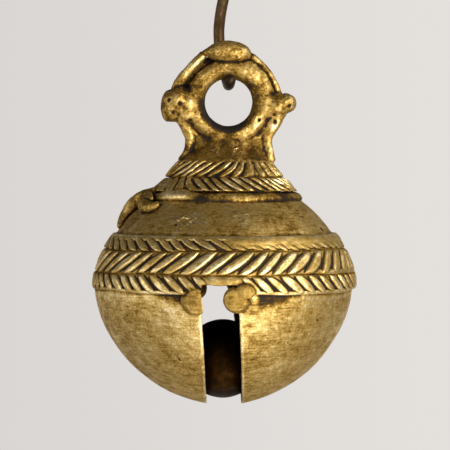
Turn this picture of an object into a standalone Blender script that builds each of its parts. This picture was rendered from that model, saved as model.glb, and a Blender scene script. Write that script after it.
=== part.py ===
"""A cast brass crotal bell hung from a bent wire hook.

The hook holds the bell by its crown ring, the bell swings on the hook, and a loose pellet
rattles inside the slotted bowl.  Metres, +Z up, origin at the centre of the hook's eye.
The front of the bell faces -Y and its slot runs from front to back.
"""

import math

import bmesh
import bpy
from mathutils import Matrix, Vector

MM = 0.001
GAP = 0.3 * MM  # clearance between neighbouring pieces

# Hook: a length of stiff wire, with an eye above and an open bend below
WIRE_DIAMETER = 2.8 * MM
HOOK_DROP = 34.0 * MM  # eye centre down to the middle of the bend that carries the bell
EYE_INNER_RADIUS = 3.5 * MM
TIP_REACH = 4.6 * MM  # how far the tip stands in front of the crown ring's middle
TIP_LIFT = 1.0 * MM
SHANK_BOW = 2.3 * MM  # how far the shank bows to the left, half way up
SHANK_CLEARANCE = 0.7 * MM  # between the shank and the back of the crown cap

# Crown ring, its cap, its two side bosses and the strands that join them
RING_BORE_RADIUS = 6.1 * MM
RING_BAND = 4.5 * MM  # radial width of the ring
RING_DEPTH = 6.4 * MM
RING_CHAMFER = 1.6 * MM
CAP_WIDTH = 14.6 * MM
CAP_DEPTH = 10.0 * MM
CAP_HEIGHT = 6.6 * MM
CAP_OVERLAP = 1.9 * MM  # how far the cap reaches down over the ring's rim
CAP_SHIFT = -1.6 * MM  # the cap was pressed on a little to the left
BOSS_RADIUS = 3.9 * MM
BOSS_DEPTH = 8.6 * MM
BOSS_EDGE = 1.2 * MM
BOSS_OUTSET = 2.6 * MM  # boss centre outside the ring's rim
BOSS_DROP = 0.8 * MM  # boss centre below the ring's centre
STRAND_RADIUS = 1.15 * MM
LEFT_STANDOFF = 1.1 * MM  # the left upper strand bridges a wider gap than the right one
RIGHT_STANDOFF = 0.1 * MM
CROWN_SHIFT = 1.0 * MM  # the crown leans to the right of the bowl's axis

# Neck: a waisted core that turns from oval under the ring to round on the shoulder
WAIST_HALF_WIDTH = 7.7 * MM
WAIST_HALF_DEPTH = 5.2 * MM
HORN_RISE = 3.6 * MM  # the core's horns reach this far up the ring's sides
WAIST_HEIGHT = 4.0 * MM  # from the underside of the ring down to the braids
NECK_BRAID_HEIGHTS = (4.1 * MM, 3.4 * MM)  # upper and lower plait
NECK_BRAID_RADII = (11.6 * MM, 15.0 * MM, 18.4 * MM)  # outer radii at their three edges
NECK_BRAID_THICKNESS = 1.5 * MM
NECK_STROKES = (26, 32)
COLLAR_HEIGHT = 2.1 * MM
COLLAR_OVERHANG = 1.3 * MM  # beyond the lower plait's foot

# Shell: shoulder above the equator, bowl below it
BELL_RADIUS = 31.9 * MM
SHOULDER_RISE = 28.8 * MM  # equator to where the shoulder's curve would meet the axis
SHOULDER_POWER = 1.65  # 2 is an ellipse, less is more conical
BOWL_DEPTH = 30.8 * MM
BOWL_POWER = 1.85
SHOULDER_HEIGHT = 20.4 * MM  # equator up to the flat that carries the neck
WALL = 2.2 * MM
CEILING = 2.5 * MM
SLOT_WIDTH = 9.0 * MM
SLOT_TOP = 0.6 * MM  # the slot's top edge above the equator

# Three plaited rows round the widest part, from the top down
ROW_EDGES = (12.3 * MM, 8.3 * MM, 2.8 * MM, -2.1 * MM)  # heights above the equator
ROW_STROKES = (52, 46, 52)
ROW_THICKNESS = 1.4 * MM
ROW_PROUD = 0.8 * MM  # stands out of the shell's curve
STROKE_RELIEF = 0.5 * MM  # depth of the grooves between strokes

# Bosses at the top of the slot
SLOT_BOSS_RADIUS = 2.8 * MM
SLOT_BOSS_HEIGHT = 1.5 * MM
SLOT_BOSS_DROP = 2.0 * MM  # centre below the equator
SLOT_BOSS_OFFSET = 5.4 * MM  # centre to either side of the slot's middle
LAPPING_BOSS_OFFSET = 3.9 * MM  # the front right one laps over the slot

# Small creature on the left of the shoulder
FIGURE_RADIUS = 1.2 * MM
FIGURE_LEG_RADIUS = 0.95 * MM
FIGURE_LEG_REACH = 26  # degrees round the shoulder

PELLET_RADIUS = 9.9 * MM

SHELL_STEPS = 40
RING_STEPS = 40
CUT_MARGIN = 5.0 * MM

WIRE_RADIUS = WIRE_DIAMETER / 2
RING_OUTER_RADIUS = RING_BORE_RADIUS + RING_BAND
RING_HEIGHT = -(RING_BORE_RADIUS - WIRE_RADIUS - GAP)  # ring centre below the hook's bend
CAP_CENTRE = RING_HEIGHT + RING_OUTER_RADIUS - CAP_OVERLAP + CAP_HEIGHT / 2
BRAID_TOP = RING_HEIGHT - RING_OUTER_RADIUS - WAIST_HEIGHT
NECK_EDGES = (
    BRAID_TOP,
    BRAID_TOP - NECK_BRAID_HEIGHTS[0],
    BRAID_TOP - sum(NECK_BRAID_HEIGHTS),
)
SHOULDER_TOP = NECK_EDGES[2] - COLLAR_HEIGHT - GAP
EQUATOR = SHOULDER_TOP - SHOULDER_HEIGHT
COLLAR_RADIUS = NECK_BRAID_RADII[2] + COLLAR_OVERHANG
INNER_CEILING = SHOULDER_TOP - CEILING


def clear_scene():
    for obj in list(bpy.data.objects):
        bpy.data.objects.remove(obj, do_unlink=True)


def new_collection(name):
    made = bpy.data.collections.new(name)
    bpy.context.scene.collection.children.link(made)
    return made


def finish(name, colour, roughness):
    made = bpy.data.materials.new(name)
    made.use_nodes = True
    shader = made.node_tree.nodes["Principled BSDF"]
    shader.inputs["Base Color"].default_value = (*colour, 1)
    shader.inputs["Metallic"].default_value = 1.0
    shader.inputs["Roughness"].default_value = roughness
    return made


clear_scene()
BELL = new_collection("puja_bell")
CUTTERS = new_collection("cutters")
BRASS = finish("cast_brass", (0.60, 0.45, 0.20), 0.38)
WIRE = finish("dark_wire", (0.16, 0.10, 0.05), 0.5)
IRON = finish("pellet_iron", (0.20, 0.13, 0.08), 0.55)


def place(name, data, parent, at=(0, 0, 0), turn=(0, 0, 0), cutter=False, coat=BRASS):
    """Puts mesh or curve data in the scene as a piece of the bell, or as a hidden cutter."""
    obj = bpy.data.objects.new(name, data)
    (CUTTERS if cutter else BELL).objects.link(obj)
    obj.parent = parent
    obj.location = at
    obj.rotation_euler = turn
    if cutter:
        obj.hide_render = True
        obj.display_type = "WIRE"
    else:
        data.materials.append(coat)
    return obj


def frame_empty(name, parent, at):
    empty = bpy.data.objects.new(name, None)
    BELL.objects.link(empty)
    empty.parent = parent
    empty.location = at
    return empty


def mesh_from(bm, name):
    mesh = bpy.data.meshes.new(name)
    bmesh.ops.recalc_face_normals(bm, faces=bm.faces)
    bm.to_mesh(mesh)
    bm.free()
    mesh.shade_smooth()
    mesh.set_sharp_from_angle(angle=math.radians(35))
    return mesh


def turn_profile(obj, steps):
    screw = obj.modifiers.new("turn", "SCREW")
    screw.axis = "Z"
    screw.angle = math.tau
    screw.steps = steps
    screw.render_steps = steps
    screw.use_merge_vertices = True
    screw.merge_threshold = 0.01 * MM
    return obj


def profile_mesh(name, points, closed=False):
    """An outline of (radius, height) points that runs down its outer side."""
    bm = bmesh.new()
    verts = [bm.verts.new((r, 0, z)) for r, z in points]
    for a, b in zip(verts, verts[1:]):
        bm.edges.new((a, b))
    if closed:
        bm.edges.new((verts[-1], verts[0]))
    mesh = bpy.data.meshes.new(name)
    bm.to_mesh(mesh)
    bm.free()
    return mesh


def boolean(obj, other, operation="DIFFERENCE"):
    modifier = obj.modifiers.new(f"{operation.lower()}_{other.name}", "BOOLEAN")
    modifier.operation = operation
    modifier.object = other


def smooth_route(points, samples):
    """Points of a Catmull-Rom curve through the given points, samples for each stretch."""
    points = [Vector(p) for p in points]
    ends = [2 * points[0] - points[1], *points, 2 * points[-1] - points[-2]]
    route = []
    for a, b, c, d in zip(ends, ends[1:], ends[2:], ends[3:]):
        for i in range(samples):
            t = i / samples
            pull = 2 * b + (c - a) * t + (2 * a - 5 * b + 4 * c - d) * t**2
            route.append((pull + (3 * b - a - 3 * c + d) * t**3) / 2)
    return [*route, points[-1]]


def rod(name, route, radius, parent, sides=2, taper=None, coat=BRASS):
    """A round rod along the route, made a mesh so that it can be cut."""
    curve = bpy.data.curves.new(name, "CURVE")
    curve.dimensions = "3D"
    curve.bevel_depth = radius
    curve.bevel_resolution = sides
    curve.use_fill_caps = True
    spline = curve.splines.new("POLY")
    spline.points.add(len(route) - 1)
    for i, (point, at) in enumerate(zip(spline.points, route)):
        point.co = (*at, 1)
        point.radius = taper(i / (len(route) - 1)) if taper else 1.0
    guide = place(name + "_guide", curve, parent)
    bpy.context.view_layer.update()
    evaluated = guide.evaluated_get(bpy.context.evaluated_depsgraph_get())
    mesh = bpy.data.meshes.new_from_object(evaluated)
    mesh.name = name
    bpy.data.objects.remove(guide)
    bm = bmesh.new()
    bm.from_mesh(mesh)
    bmesh.ops.remove_doubles(bm, verts=bm.verts, dist=0.001 * MM)
    bm.to_mesh(mesh)
    bm.free()
    mesh.materials.clear()
    return place(name, mesh, parent, coat=coat)


def shell_radius(height, inset=0.0):
    """Radius of the shell's curve at a height above the equator."""
    rise, power = (SHOULDER_RISE, SHOULDER_POWER) if height > 0 else (BOWL_DEPTH, BOWL_POWER)
    share = abs(height) / (rise - inset)
    return (BELL_RADIUS - inset) * max(0.0, 1 - share**power) ** (1 / power)


def curve_down(start, end, count, inset=0.0):
    """(radius, height) along the shell's curve, evenly by angle so that both ends stay fine."""
    reach = (SHOULDER_RISE if start + end > 0 else BOWL_DEPTH) - inset
    low, high = math.asin(max(-1, start / reach)), math.asin(max(-1, end / reach))
    heights = [reach * math.sin(low + (high - low) * i / count) for i in range(count + 1)]
    return [(shell_radius(h, inset), EQUATOR + h) for h in heights]


def row_outer(edge):
    return shell_radius(edge) + ROW_PROUD


def row_bed(edge):
    """Radius of the bed that the plaited rows lie in."""
    return row_outer(edge) - ROW_THICKNESS - GAP


def row_bed_at(height):
    for upper, lower in zip(ROW_EDGES, ROW_EDGES[1:]):
        if lower <= height <= upper:
            share = (upper - height) / (upper - lower)
            return row_bed(upper) + share * (row_bed(lower) - row_bed(upper))


# --- hook ---------------------------------------------------------------------------------


def hanging_hook(root):
    bend = -HOOK_DROP
    shank_depth = CAP_DEPTH / 2 + SHANK_CLEARANCE + WIRE_RADIUS
    cap_top = CAP_CENTRE + CAP_HEIGHT / 2
    eye_radius = EYE_INNER_RADIUS + WIRE_RADIUS
    foot = bend + cap_top
    span = -eye_radius - foot  # shank between the cap's top and the eye
    shank = [
        (0.3 * MM, -TIP_REACH, bend + TIP_LIFT),
        (0.1 * MM, -TIP_REACH / 2, bend + 0.05 * TIP_LIFT),
        (0, 0, bend),
        (0, 0.37 * shank_depth, bend + 0.15 * MM),
        (-0.15 * SHANK_BOW, 0.77 * shank_depth, bend + 0.15 * cap_top),
        (-0.5 * SHANK_BOW, 0.97 * shank_depth, bend + 0.42 * cap_top),
        (-0.85 * SHANK_BOW, shank_depth, bend + 0.78 * cap_top),
        (-SHANK_BOW, 0.9 * shank_depth, foot + 0.12 * span),
        (-0.85 * SHANK_BOW, 0.65 * shank_depth, foot + 0.36 * span),
        (-0.45 * SHANK_BOW, 0.3 * shank_depth, foot + 0.64 * span),
        (-0.25 * SHANK_BOW, 0.06 * shank_depth, foot + 0.88 * span),
    ]
    eye = []
    for degrees in range(-55, 231, 19):
        angle = math.radians(degrees)
        eye.append((eye_radius * math.cos(angle), 0, eye_radius * math.sin(angle)))
    route = smooth_route([*shank, *eye], 2)
    rod("hanging_hook", route, WIRE_RADIUS, root, coat=WIRE)


# --- crown --------------------------------------------------------------------------------


def ring_profile(grow):
    """The ring's chamfered section, as (radius, depth) points down its outer side."""
    inner, outer = RING_BORE_RADIUS - grow, RING_OUTER_RADIUS + grow
    half, land = RING_DEPTH / 2 + grow, RING_DEPTH / 2 - RING_CHAMFER + grow / 2
    edge = RING_CHAMFER * 0.6
    return [
        (outer - edge, half),
        (outer, half - edge),
        (outer, edge - half),
        (outer - edge, -half),
        (inner + RING_CHAMFER, -half),
        (inner, -land),
        (inner, land),
        (inner + RING_CHAMFER, half),
    ]


def crown_ring(crown, name, grow=0.0):
    mesh = profile_mesh(name, ring_profile(grow), closed=True)
    flat = (math.radians(90), 0, 0)
    obj = place(name, mesh, crown, (0, 0, RING_HEIGHT), flat, cutter=grow > 0)
    return turn_profile(obj, RING_STEPS)


def crown_cap(crown, name, grow=0.0):
    bm = bmesh.new()
    bmesh.ops.create_uvsphere(bm, u_segments=20, v_segments=10, radius=1)
    half = Vector((CAP_WIDTH / 2, CAP_DEPTH / 2, CAP_HEIGHT / 2)) + Vector((grow,) * 3)
    bmesh.ops.scale(bm, vec=half, verts=bm.verts)
    return place(name, mesh_from(bm, name), crown, (CAP_SHIFT, 0, CAP_CENTRE), cutter=grow > 0)


def boss_centre(side):
    reach = RING_OUTER_RADIUS + BOSS_OUTSET
    return Vector((side * reach, 0, RING_HEIGHT - BOSS_DROP))


def side_boss(crown, name, side, grow=0.0):
    """A thick disc with rounded edges that straddles the ring's rim."""
    bm = bmesh.new()
    radius, depth = BOSS_RADIUS + grow, BOSS_DEPTH + 2 * grow
    bmesh.ops.create_cone(
        bm, cap_ends=True, segments=20, radius1=radius, radius2=radius, depth=depth
    )
    rims = [e for e in bm.edges if e.is_manifold and e.calc_face_angle() > math.radians(60)]
    bmesh.ops.bevel(
        bm, geom=rims, offset=BOSS_EDGE, affect="EDGES", segments=2, profile=0.5, material=-1
    )
    flat = (math.radians(90), 0, 0)
    return place(name, mesh_from(bm, name), crown, boss_centre(side), flat, cutter=grow > 0)


def upper_strand(crown, name, side, standoff):
    """Arches over the ring's rim from inside the boss to inside the cap."""
    radius = RING_OUTER_RADIUS + GAP + STRAND_RADIUS + standoff
    cap_reach = CAP_WIDTH / 2 + side * CAP_SHIFT
    start = -math.asin(BOSS_DROP / radius)
    end = math.acos(min(1, 0.75 * cap_reach / radius))
    route = []
    for i in range(13):
        angle = start + (end - start) * i / 12
        route.append(
            (side * radius * math.cos(angle), 0, RING_HEIGHT + radius * math.sin(angle))
        )
    return rod(name, route, STRAND_RADIUS, crown)


def lower_strand(crown, name, side):
    """Runs from the boss down the side of the waist, and turns out on to the plait."""
    start = boss_centre(side)
    beside_waist = WAIST_HALF_WIDTH + GAP + STRAND_RADIUS + 0.3 * MM
    ring_foot = RING_HEIGHT - RING_OUTER_RADIUS
    end = ring_foot - WAIST_HEIGHT + STRAND_RADIUS + GAP
    flare = NECK_BRAID_RADII[0] - STRAND_RADIUS
    points = [
        start,
        (side * (0.45 * beside_waist + 0.55 * abs(start.x)), 0, start.z - 0.62 * (start.z - ring_foot)),
        (side * beside_waist * 1.02, 0, ring_foot + 0.15 * WAIST_HEIGHT),
        (side * beside_waist * 1.03, 0, 0.45 * ring_foot + 0.55 * end),
        (side * flare, 0, end),
    ]
    return rod(name, smooth_route(points, 4), STRAND_RADIUS, crown)


# --- neck ---------------------------------------------------------------------------------


def neck_core_radius(edge):
    return NECK_BRAID_RADII[edge] - NECK_BRAID_THICKNESS - GAP


def neck_core(body, name, grow=0.0):
    """Loops of changing oval, bridged: round under the plaits, narrow under the ring."""
    ring_foot = RING_HEIGHT - RING_OUTER_RADIUS
    loops = [  # height, half width, half depth, shift to the right
        (ring_foot + HORN_RISE, WAIST_HALF_WIDTH, RING_DEPTH / 2, CROWN_SHIFT),
        (ring_foot + 0.3 * HORN_RISE, WAIST_HALF_WIDTH, WAIST_HALF_DEPTH, CROWN_SHIFT),
        (ring_foot - 0.35 * WAIST_HEIGHT, WAIST_HALF_WIDTH, WAIST_HALF_DEPTH + 1.2 * MM, 0.6 * CROWN_SHIFT),
        (NECK_EDGES[0], neck_core_radius(0), neck_core_radius(0), 0),
        (NECK_EDGES[1], neck_core_radius(1), neck_core_radius(1), 0),
        (NECK_EDGES[2], neck_core_radius(2), neck_core_radius(2), 0),
        (SHOULDER_TOP + GAP, neck_core_radius(2), neck_core_radius(2), 0),
    ]
    bm = bmesh.new()
    rims = []
    for i, (height, width, depth, shift) in enumerate(loops):
        lift = grow if i == 0 else -grow if i == len(loops) - 1 else 0
        size = Matrix.Diagonal((width + grow, depth + grow, 1, 1))
        at = Matrix.Translation((shift, 0, height + lift))
        made = bmesh.ops.create_circle(
            bm, cap_ends=i in (0, len(loops) - 1), segments=36, radius=1, matrix=at @ size
        )
        rims.append(list({e for v in made["verts"] for e in v.link_edges}))
    for upper, lower in zip(rims, rims[1:]):
        bmesh.ops.bridge_loops(bm, edges=upper + lower)
    bmesh.ops.triangulate(bm, faces=bm.faces)
    return place(name, mesh_from(bm, name), body, cutter=grow > 0)


def plaited_ring(body, name, edges, strokes, lean, relief=STROKE_RELIEF):
    """A pleated band between two edges, each (height, outer radius, inner radius).

    The outer wall is folded into one ridge and one groove for each stroke, and lean turns
    its lower edge round by that many strokes, so the strokes slant.
    """
    (top, top_outer, top_inner), (low, low_outer, low_inner) = edges
    bm = bmesh.new()
    bmesh.ops.create_cone(
        bm,
        cap_ends=False,
        segments=2 * strokes,
        radius1=low_outer,
        radius2=top_outer,
        depth=top - low,
        matrix=Matrix.Translation((0, 0, (top + low) / 2)),
    )
    middle = (top + low) / 2
    upper = [v for v in bm.verts if v.co.z > middle]
    lower = [v for v in bm.verts if v.co.z < middle]
    for rim in (upper, lower):
        rim.sort(key=lambda v: math.atan2(v.co.y, v.co.x) % math.tau)
        for groove in rim[::2]:
            inward = Vector((groove.co.x, groove.co.y, 0)).normalized()
            groove.co -= inward * relief
    bmesh.ops.rotate(bm, verts=lower, matrix=Matrix.Rotation(lean * math.tau / strokes, 3, "Z"))
    inner_rims = []
    for rim, radius in ((upper, top_inner), (lower, low_inner)):
        edge_loop = [e for e in bm.edges if e.verts[0] in rim and e.verts[1] in rim]
        made = bmesh.ops.extrude_edge_only(bm, edges=edge_loop)["geom"]
        for vert in (g for g in made if isinstance(g, bmesh.types.BMVert)):
            flat = Vector((vert.co.x, vert.co.y, 0)).normalized() * radius
            vert.co.x, vert.co.y = flat.x, flat.y
        inner_rims.append([g for g in made if isinstance(g, bmesh.types.BMEdge) and g.is_boundary])
    bmesh.ops.bridge_loops(bm, edges=inner_rims[0] + inner_rims[1])
    bmesh.ops.triangulate(bm, faces=bm.faces)
    return place(name, mesh_from(bm, name), body)


def neck_plaits(body):
    names = ("neck_braid_upper", "neck_braid_lower")
    for i, (name, strokes, lean) in enumerate(zip(names, NECK_STROKES, (-0.9, 1.0))):
        edges = []
        for edge, trim in ((i, 0), (i + 1, GAP)):
            outer = NECK_BRAID_RADII[edge]
            edges.append((NECK_EDGES[edge] + trim, outer, outer - NECK_BRAID_THICKNESS))
        plaited_ring(body, name, edges, strokes, lean)


def collar_rim(body, name="collar_rim", grow=0.0):
    """The rounded wire of wax laid round the foot of the neck."""
    top, foot = NECK_EDGES[2] + grow, SHOULDER_TOP + GAP - grow
    outer, inner = COLLAR_RADIUS + grow, neck_core_radius(2) + GAP - grow
    rounding = (top - foot) * 0.3
    outline = [
        (outer - rounding * 1.5, top),
        (outer - rounding * 0.4, top - rounding),
        (outer, (top + foot) / 2),
        (outer - rounding * 0.3, foot + rounding * 0.5),
        (outer - rounding, foot),
        (inner, foot),
        (inner, top),
    ]
    obj = place(name, profile_mesh(name, outline, closed=True), body, cutter=grow > 0)
    return turn_profile(obj, SHELL_STEPS)


# --- shell --------------------------------------------------------------------------------


def shoulder_dome(body):
    """From the flat under the neck down to the joint hidden behind the plaited rows."""
    joint = ROW_EDGES[2] + GAP / 2
    ceiling = INNER_CEILING - EQUATOR
    flat_radius = shell_radius(SHOULDER_HEIGHT)
    outline = [(0, SHOULDER_TOP), (flat_radius - 1.0 * MM, SHOULDER_TOP)]
    outline += curve_down(SHOULDER_HEIGHT - 0.5 * MM, ROW_EDGES[0] + GAP, 6)
    outline += [(row_bed(e), EQUATOR + e) for e in (ROW_EDGES[0] + GAP, ROW_EDGES[1])]
    outline += [(row_bed_at(joint), EQUATOR + joint)]
    outline += reversed(curve_down(ceiling, joint, 6, inset=WALL))
    outline += [(0, INNER_CEILING)]
    turn_profile(place("shoulder_dome", profile_mesh("shoulder_dome", outline), body), SHELL_STEPS)


def slot_cutter(body, name="slot_cutter"):
    """A saw cut from front to back, from below the bowl up to just over the equator."""
    bm = bmesh.new()
    bmesh.ops.create_cube(bm, size=1)
    height = SLOT_TOP + BOWL_DEPTH + CUT_MARGIN
    length = 2 * (BELL_RADIUS + ROW_PROUD + SLOT_BOSS_HEIGHT + CUT_MARGIN)
    bmesh.ops.scale(bm, vec=(SLOT_WIDTH, length, height), verts=bm.verts)
    at = (0, 0, EQUATOR + SLOT_TOP - height / 2)
    return place(name, mesh_from(bm, name), body, at, cutter=True)


def lower_bowl(body, slot):
    joint = ROW_EDGES[2] - GAP / 2
    foot = ROW_EDGES[3] - GAP
    outline = [(0, EQUATOR - BOWL_DEPTH + WALL)]
    outline += list(reversed(curve_down(0, -0.999 * (BOWL_DEPTH - WALL), 9, inset=WALL)))
    outline += [(shell_radius(joint, WALL), EQUATOR + joint)]
    outline += [(row_bed_at(joint), EQUATOR + joint)]
    outline += [(row_bed(ROW_EDGES[3]), EQUATOR + foot)]
    outline += curve_down(foot - 0.01 * MM, -0.999 * BOWL_DEPTH, 10)
    outline += [(0, EQUATOR - BOWL_DEPTH)]
    bowl = place("lower_bowl", profile_mesh("lower_bowl", outline), body)
    boolean(turn_profile(bowl, SHELL_STEPS), slot)


def bowl_keepout(body, name, grow=GAP):
    """The shell's outer form grown by the clearance, to seat what lies on it."""
    outline = [(0, SHOULDER_TOP + grow)]
    outline += [(r + grow, z) for r, z in curve_down(SHOULDER_HEIGHT, 0, 12)]
    outline += [(r + grow, z) for r, z in curve_down(-0.02 * BOWL_DEPTH, -0.98 * BOWL_DEPTH, 12)]
    outline += [(0, EQUATOR - BOWL_DEPTH - grow)]
    keepout = place(name, profile_mesh(name, outline), body, cutter=True)
    return turn_profile(keepout, 2 * SHELL_STEPS)


def slot_boss(body, name, offset, front, grow=0.0):
    """A domed button on the shell beside the slot; front is 1 at the front and -1 behind."""
    bm = bmesh.new()
    bmesh.ops.create_uvsphere(bm, u_segments=16, v_segments=8, radius=1)
    radius = SLOT_BOSS_RADIUS + grow
    bmesh.ops.scale(bm, vec=(radius, radius, SLOT_BOSS_HEIGHT + grow), verts=bm.verts)
    seat = shell_radius(-SLOT_BOSS_DROP) + GAP + 0.2 * SLOT_BOSS_HEIGHT
    around = math.asin(offset / seat)
    at = (seat * math.sin(around), -front * seat * math.cos(around), EQUATOR - SLOT_BOSS_DROP)
    turn = (math.radians(90), 0, front * around if front > 0 else math.pi - around)
    return place(name, mesh_from(bm, name), body, at, turn, cutter=grow > 0)


def plaited_rows(body, slot, boss_pockets):
    names = ("band_braid_upper", "band_braid_middle", "band_braid_lower")
    for i, (name, strokes, lean) in enumerate(zip(names, ROW_STROKES, (1.0, -1.6, 1.0))):
        edges = []
        for edge, trim in ((ROW_EDGES[i], 0), (ROW_EDGES[i + 1], GAP if i < 2 else 0)):
            outer = row_outer(edge)
            edges.append((EQUATOR + edge + trim, outer, outer - ROW_THICKNESS))
        row = plaited_ring(body, name, edges, strokes, lean)
        if i == 2:
            boolean(row, slot)
            for pocket in boss_pockets:
                boolean(row, pocket)


def slot_bosses(body, slot, keepout):
    """Four buttons, of which the front right one laps over the slot. Returns their pockets."""
    places = {
        "slot_boss_front_left": (-SLOT_BOSS_OFFSET, 1),
        "slot_boss_front_right": (LAPPING_BOSS_OFFSET, 1),
        "slot_boss_back_left": (-SLOT_BOSS_OFFSET, -1),
        "slot_boss_back_right": (SLOT_BOSS_OFFSET, -1),
    }
    pockets = []
    for name, (offset, front) in places.items():
        boss = slot_boss(body, name, offset, front)
        boolean(boss, keepout)
        if abs(offset) == SLOT_BOSS_OFFSET:
            boolean(boss, slot)
        pockets.append(slot_boss(body, name + "_pocket", offset, front, grow=GAP))
    return pockets


# --- figure on the shoulder ---------------------------------------------------------------


def on_shoulder(height, degrees, lift):
    """A point over the shoulder, degrees round from the left side towards the front."""
    angle = math.radians(180 + degrees)
    radius = shell_radius(height) + lift
    return (radius * math.cos(angle), radius * math.sin(angle), EQUATOR + height)


def shoulder_figure(body, keepout, collar_keepout):
    """A creeping creature: a tapered trunk down the left side, with four short legs."""
    top = SHOULDER_HEIGHT - 0.6 * MM
    tail = ROW_EDGES[0] + 1.9 * MM
    lift = GAP + 0.8 * FIGURE_RADIUS
    heights = [top + (tail - top) * i / 4 for i in range(5)]
    spine = [on_shoulder(h, 0, lift + 0.4 * MM if i == 0 else lift) for i, h in enumerate(heights)]
    trunk = rod(
        "shoulder_figure",
        smooth_route(spine, 3),
        FIGURE_RADIUS,
        body,
        taper=lambda t: 1.0 - 0.45 * t**2,
    )
    hips = (top - 0.24 * (top - tail), top - 0.72 * (top - tail))
    for i, hip in enumerate(hips):
        for side in (-1, 1):
            reach = side * FIGURE_LEG_REACH * (1 if i == 0 else 0.5)
            foot_drop = 0.8 * MM * (1 if i == 0 else 1.4)
            leg_route = [
                on_shoulder(hip, 0, lift),
                on_shoulder(hip + 0.3 * MM, 0.5 * reach, lift),
                on_shoulder(hip - foot_drop, reach, lift - 0.2 * MM),
            ]
            name = f"figure_leg_{i}_{'front' if side > 0 else 'back'}"
            leg = rod(name, smooth_route(leg_route, 3), FIGURE_LEG_RADIUS, body)
            BELL.objects.unlink(leg)
            CUTTERS.objects.link(leg)
            leg.hide_render = True
            leg.display_type = "WIRE"
            boolean(trunk, leg, "UNION")
    boolean(trunk, keepout)
    boolean(trunk, collar_keepout)


# --- pellet -------------------------------------------------------------------------------


def pellet(body):
    """Rests on the inner edges of the slot, where the bowl's inside is half a slot off axis."""
    half = SLOT_WIDTH / 2
    inner_depth, inner_radius = BOWL_DEPTH - WALL, BELL_RADIUS - WALL
    share = 1 - (half / inner_radius) ** BOWL_POWER
    lip = EQUATOR - inner_depth * share ** (1 / BOWL_POWER)
    rest = lip + math.sqrt((PELLET_RADIUS + GAP) ** 2 - half**2)
    seat = frame_empty("pellet_rest", body, (0, 0, rest))
    bm = bmesh.new()
    bmesh.ops.create_uvsphere(bm, u_segments=20, v_segments=12, radius=PELLET_RADIUS)
    place("pellet", mesh_from(bm, "pellet"), seat, coat=IRON)


def main():
    root = frame_empty("hook_eye", None, (0, 0, 0))
    crown = frame_empty("bell_swing", root, (0, 0, -HOOK_DROP))
    body = frame_empty("bell_axis", crown, (-CROWN_SHIFT, 0, 0))

    hanging_hook(root)

    crown_ring(crown, "crown_ring")
    ring_keepout = crown_ring(crown, "ring_keepout", GAP)
    boolean(crown_cap(crown, "crown_cap"), ring_keepout)
    cap_keepout = crown_cap(crown, "cap_keepout", GAP)
    core = neck_core(body, "neck_core")
    boolean(core, ring_keepout)
    core_keepout = neck_core(body, "core_keepout", GAP)
    sides = (("left", -1, LEFT_STANDOFF), ("right", 1, RIGHT_STANDOFF))
    for word, side, standoff in sides:
        boolean(side_boss(crown, f"side_boss_{word}", side), ring_keepout)
        boss_keepout = side_boss(crown, f"boss_keepout_{word}", side, GAP)
        upper = upper_strand(crown, f"crown_strand_upper_{word}", side, standoff)
        boolean(upper, boss_keepout)
        boolean(upper, cap_keepout)
        lower = lower_strand(crown, f"crown_strand_lower_{word}", side)
        boolean(lower, boss_keepout)
        boolean(lower, core_keepout)

    neck_plaits(body)
    collar_rim(body)
    collar_keepout = collar_rim(body, "collar_keepout", GAP)
    shoulder_dome(body)
    slot = slot_cutter(body)
    lower_bowl(body, slot)
    keepout = bowl_keepout(body, "shell_keepout")
    pockets = slot_bosses(body, slot, keepout)
    plaited_rows(body, slot, pockets)
    shoulder_figure(body, keepout, collar_keepout)
    pellet(body)


main()
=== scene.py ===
"""The looks of a cast brass crotal bell on its wire hook.

Each cast piece gets its hand-laid form, its casting pits, its worn ridges with painted highlights,
and dark grime and painted shade in its hollows.  Metres; shapes on the bell are worked out round the
bell's own axis with the equator at height 0, and moved to their place in the frame at the end.
"""

import math

import bmesh
import bpy
import numpy as np
from mathutils import Matrix, Vector, noise
from mathutils.bvhtree import BVHTree


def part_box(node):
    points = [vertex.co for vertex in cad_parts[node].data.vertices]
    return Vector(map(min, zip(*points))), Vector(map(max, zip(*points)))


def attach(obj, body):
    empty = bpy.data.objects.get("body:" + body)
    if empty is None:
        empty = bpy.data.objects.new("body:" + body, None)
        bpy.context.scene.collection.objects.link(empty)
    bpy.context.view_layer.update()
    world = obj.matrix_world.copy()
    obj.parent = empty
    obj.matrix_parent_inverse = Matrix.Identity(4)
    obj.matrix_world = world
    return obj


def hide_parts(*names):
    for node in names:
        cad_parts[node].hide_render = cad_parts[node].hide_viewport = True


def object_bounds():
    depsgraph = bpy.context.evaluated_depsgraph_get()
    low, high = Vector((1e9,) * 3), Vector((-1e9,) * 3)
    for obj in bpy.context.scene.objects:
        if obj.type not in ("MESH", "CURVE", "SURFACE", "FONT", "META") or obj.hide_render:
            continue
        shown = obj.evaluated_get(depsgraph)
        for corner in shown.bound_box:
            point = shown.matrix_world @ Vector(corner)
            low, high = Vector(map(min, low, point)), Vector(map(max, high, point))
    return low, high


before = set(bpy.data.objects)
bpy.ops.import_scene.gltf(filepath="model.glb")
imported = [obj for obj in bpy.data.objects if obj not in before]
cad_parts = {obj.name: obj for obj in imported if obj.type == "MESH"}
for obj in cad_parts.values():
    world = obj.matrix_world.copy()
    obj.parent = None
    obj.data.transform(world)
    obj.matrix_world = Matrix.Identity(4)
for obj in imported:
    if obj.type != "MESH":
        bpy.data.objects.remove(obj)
CAD_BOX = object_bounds()

MM = 0.001


def middle(node):
    low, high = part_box(node)
    return (low + high) / 2


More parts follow.
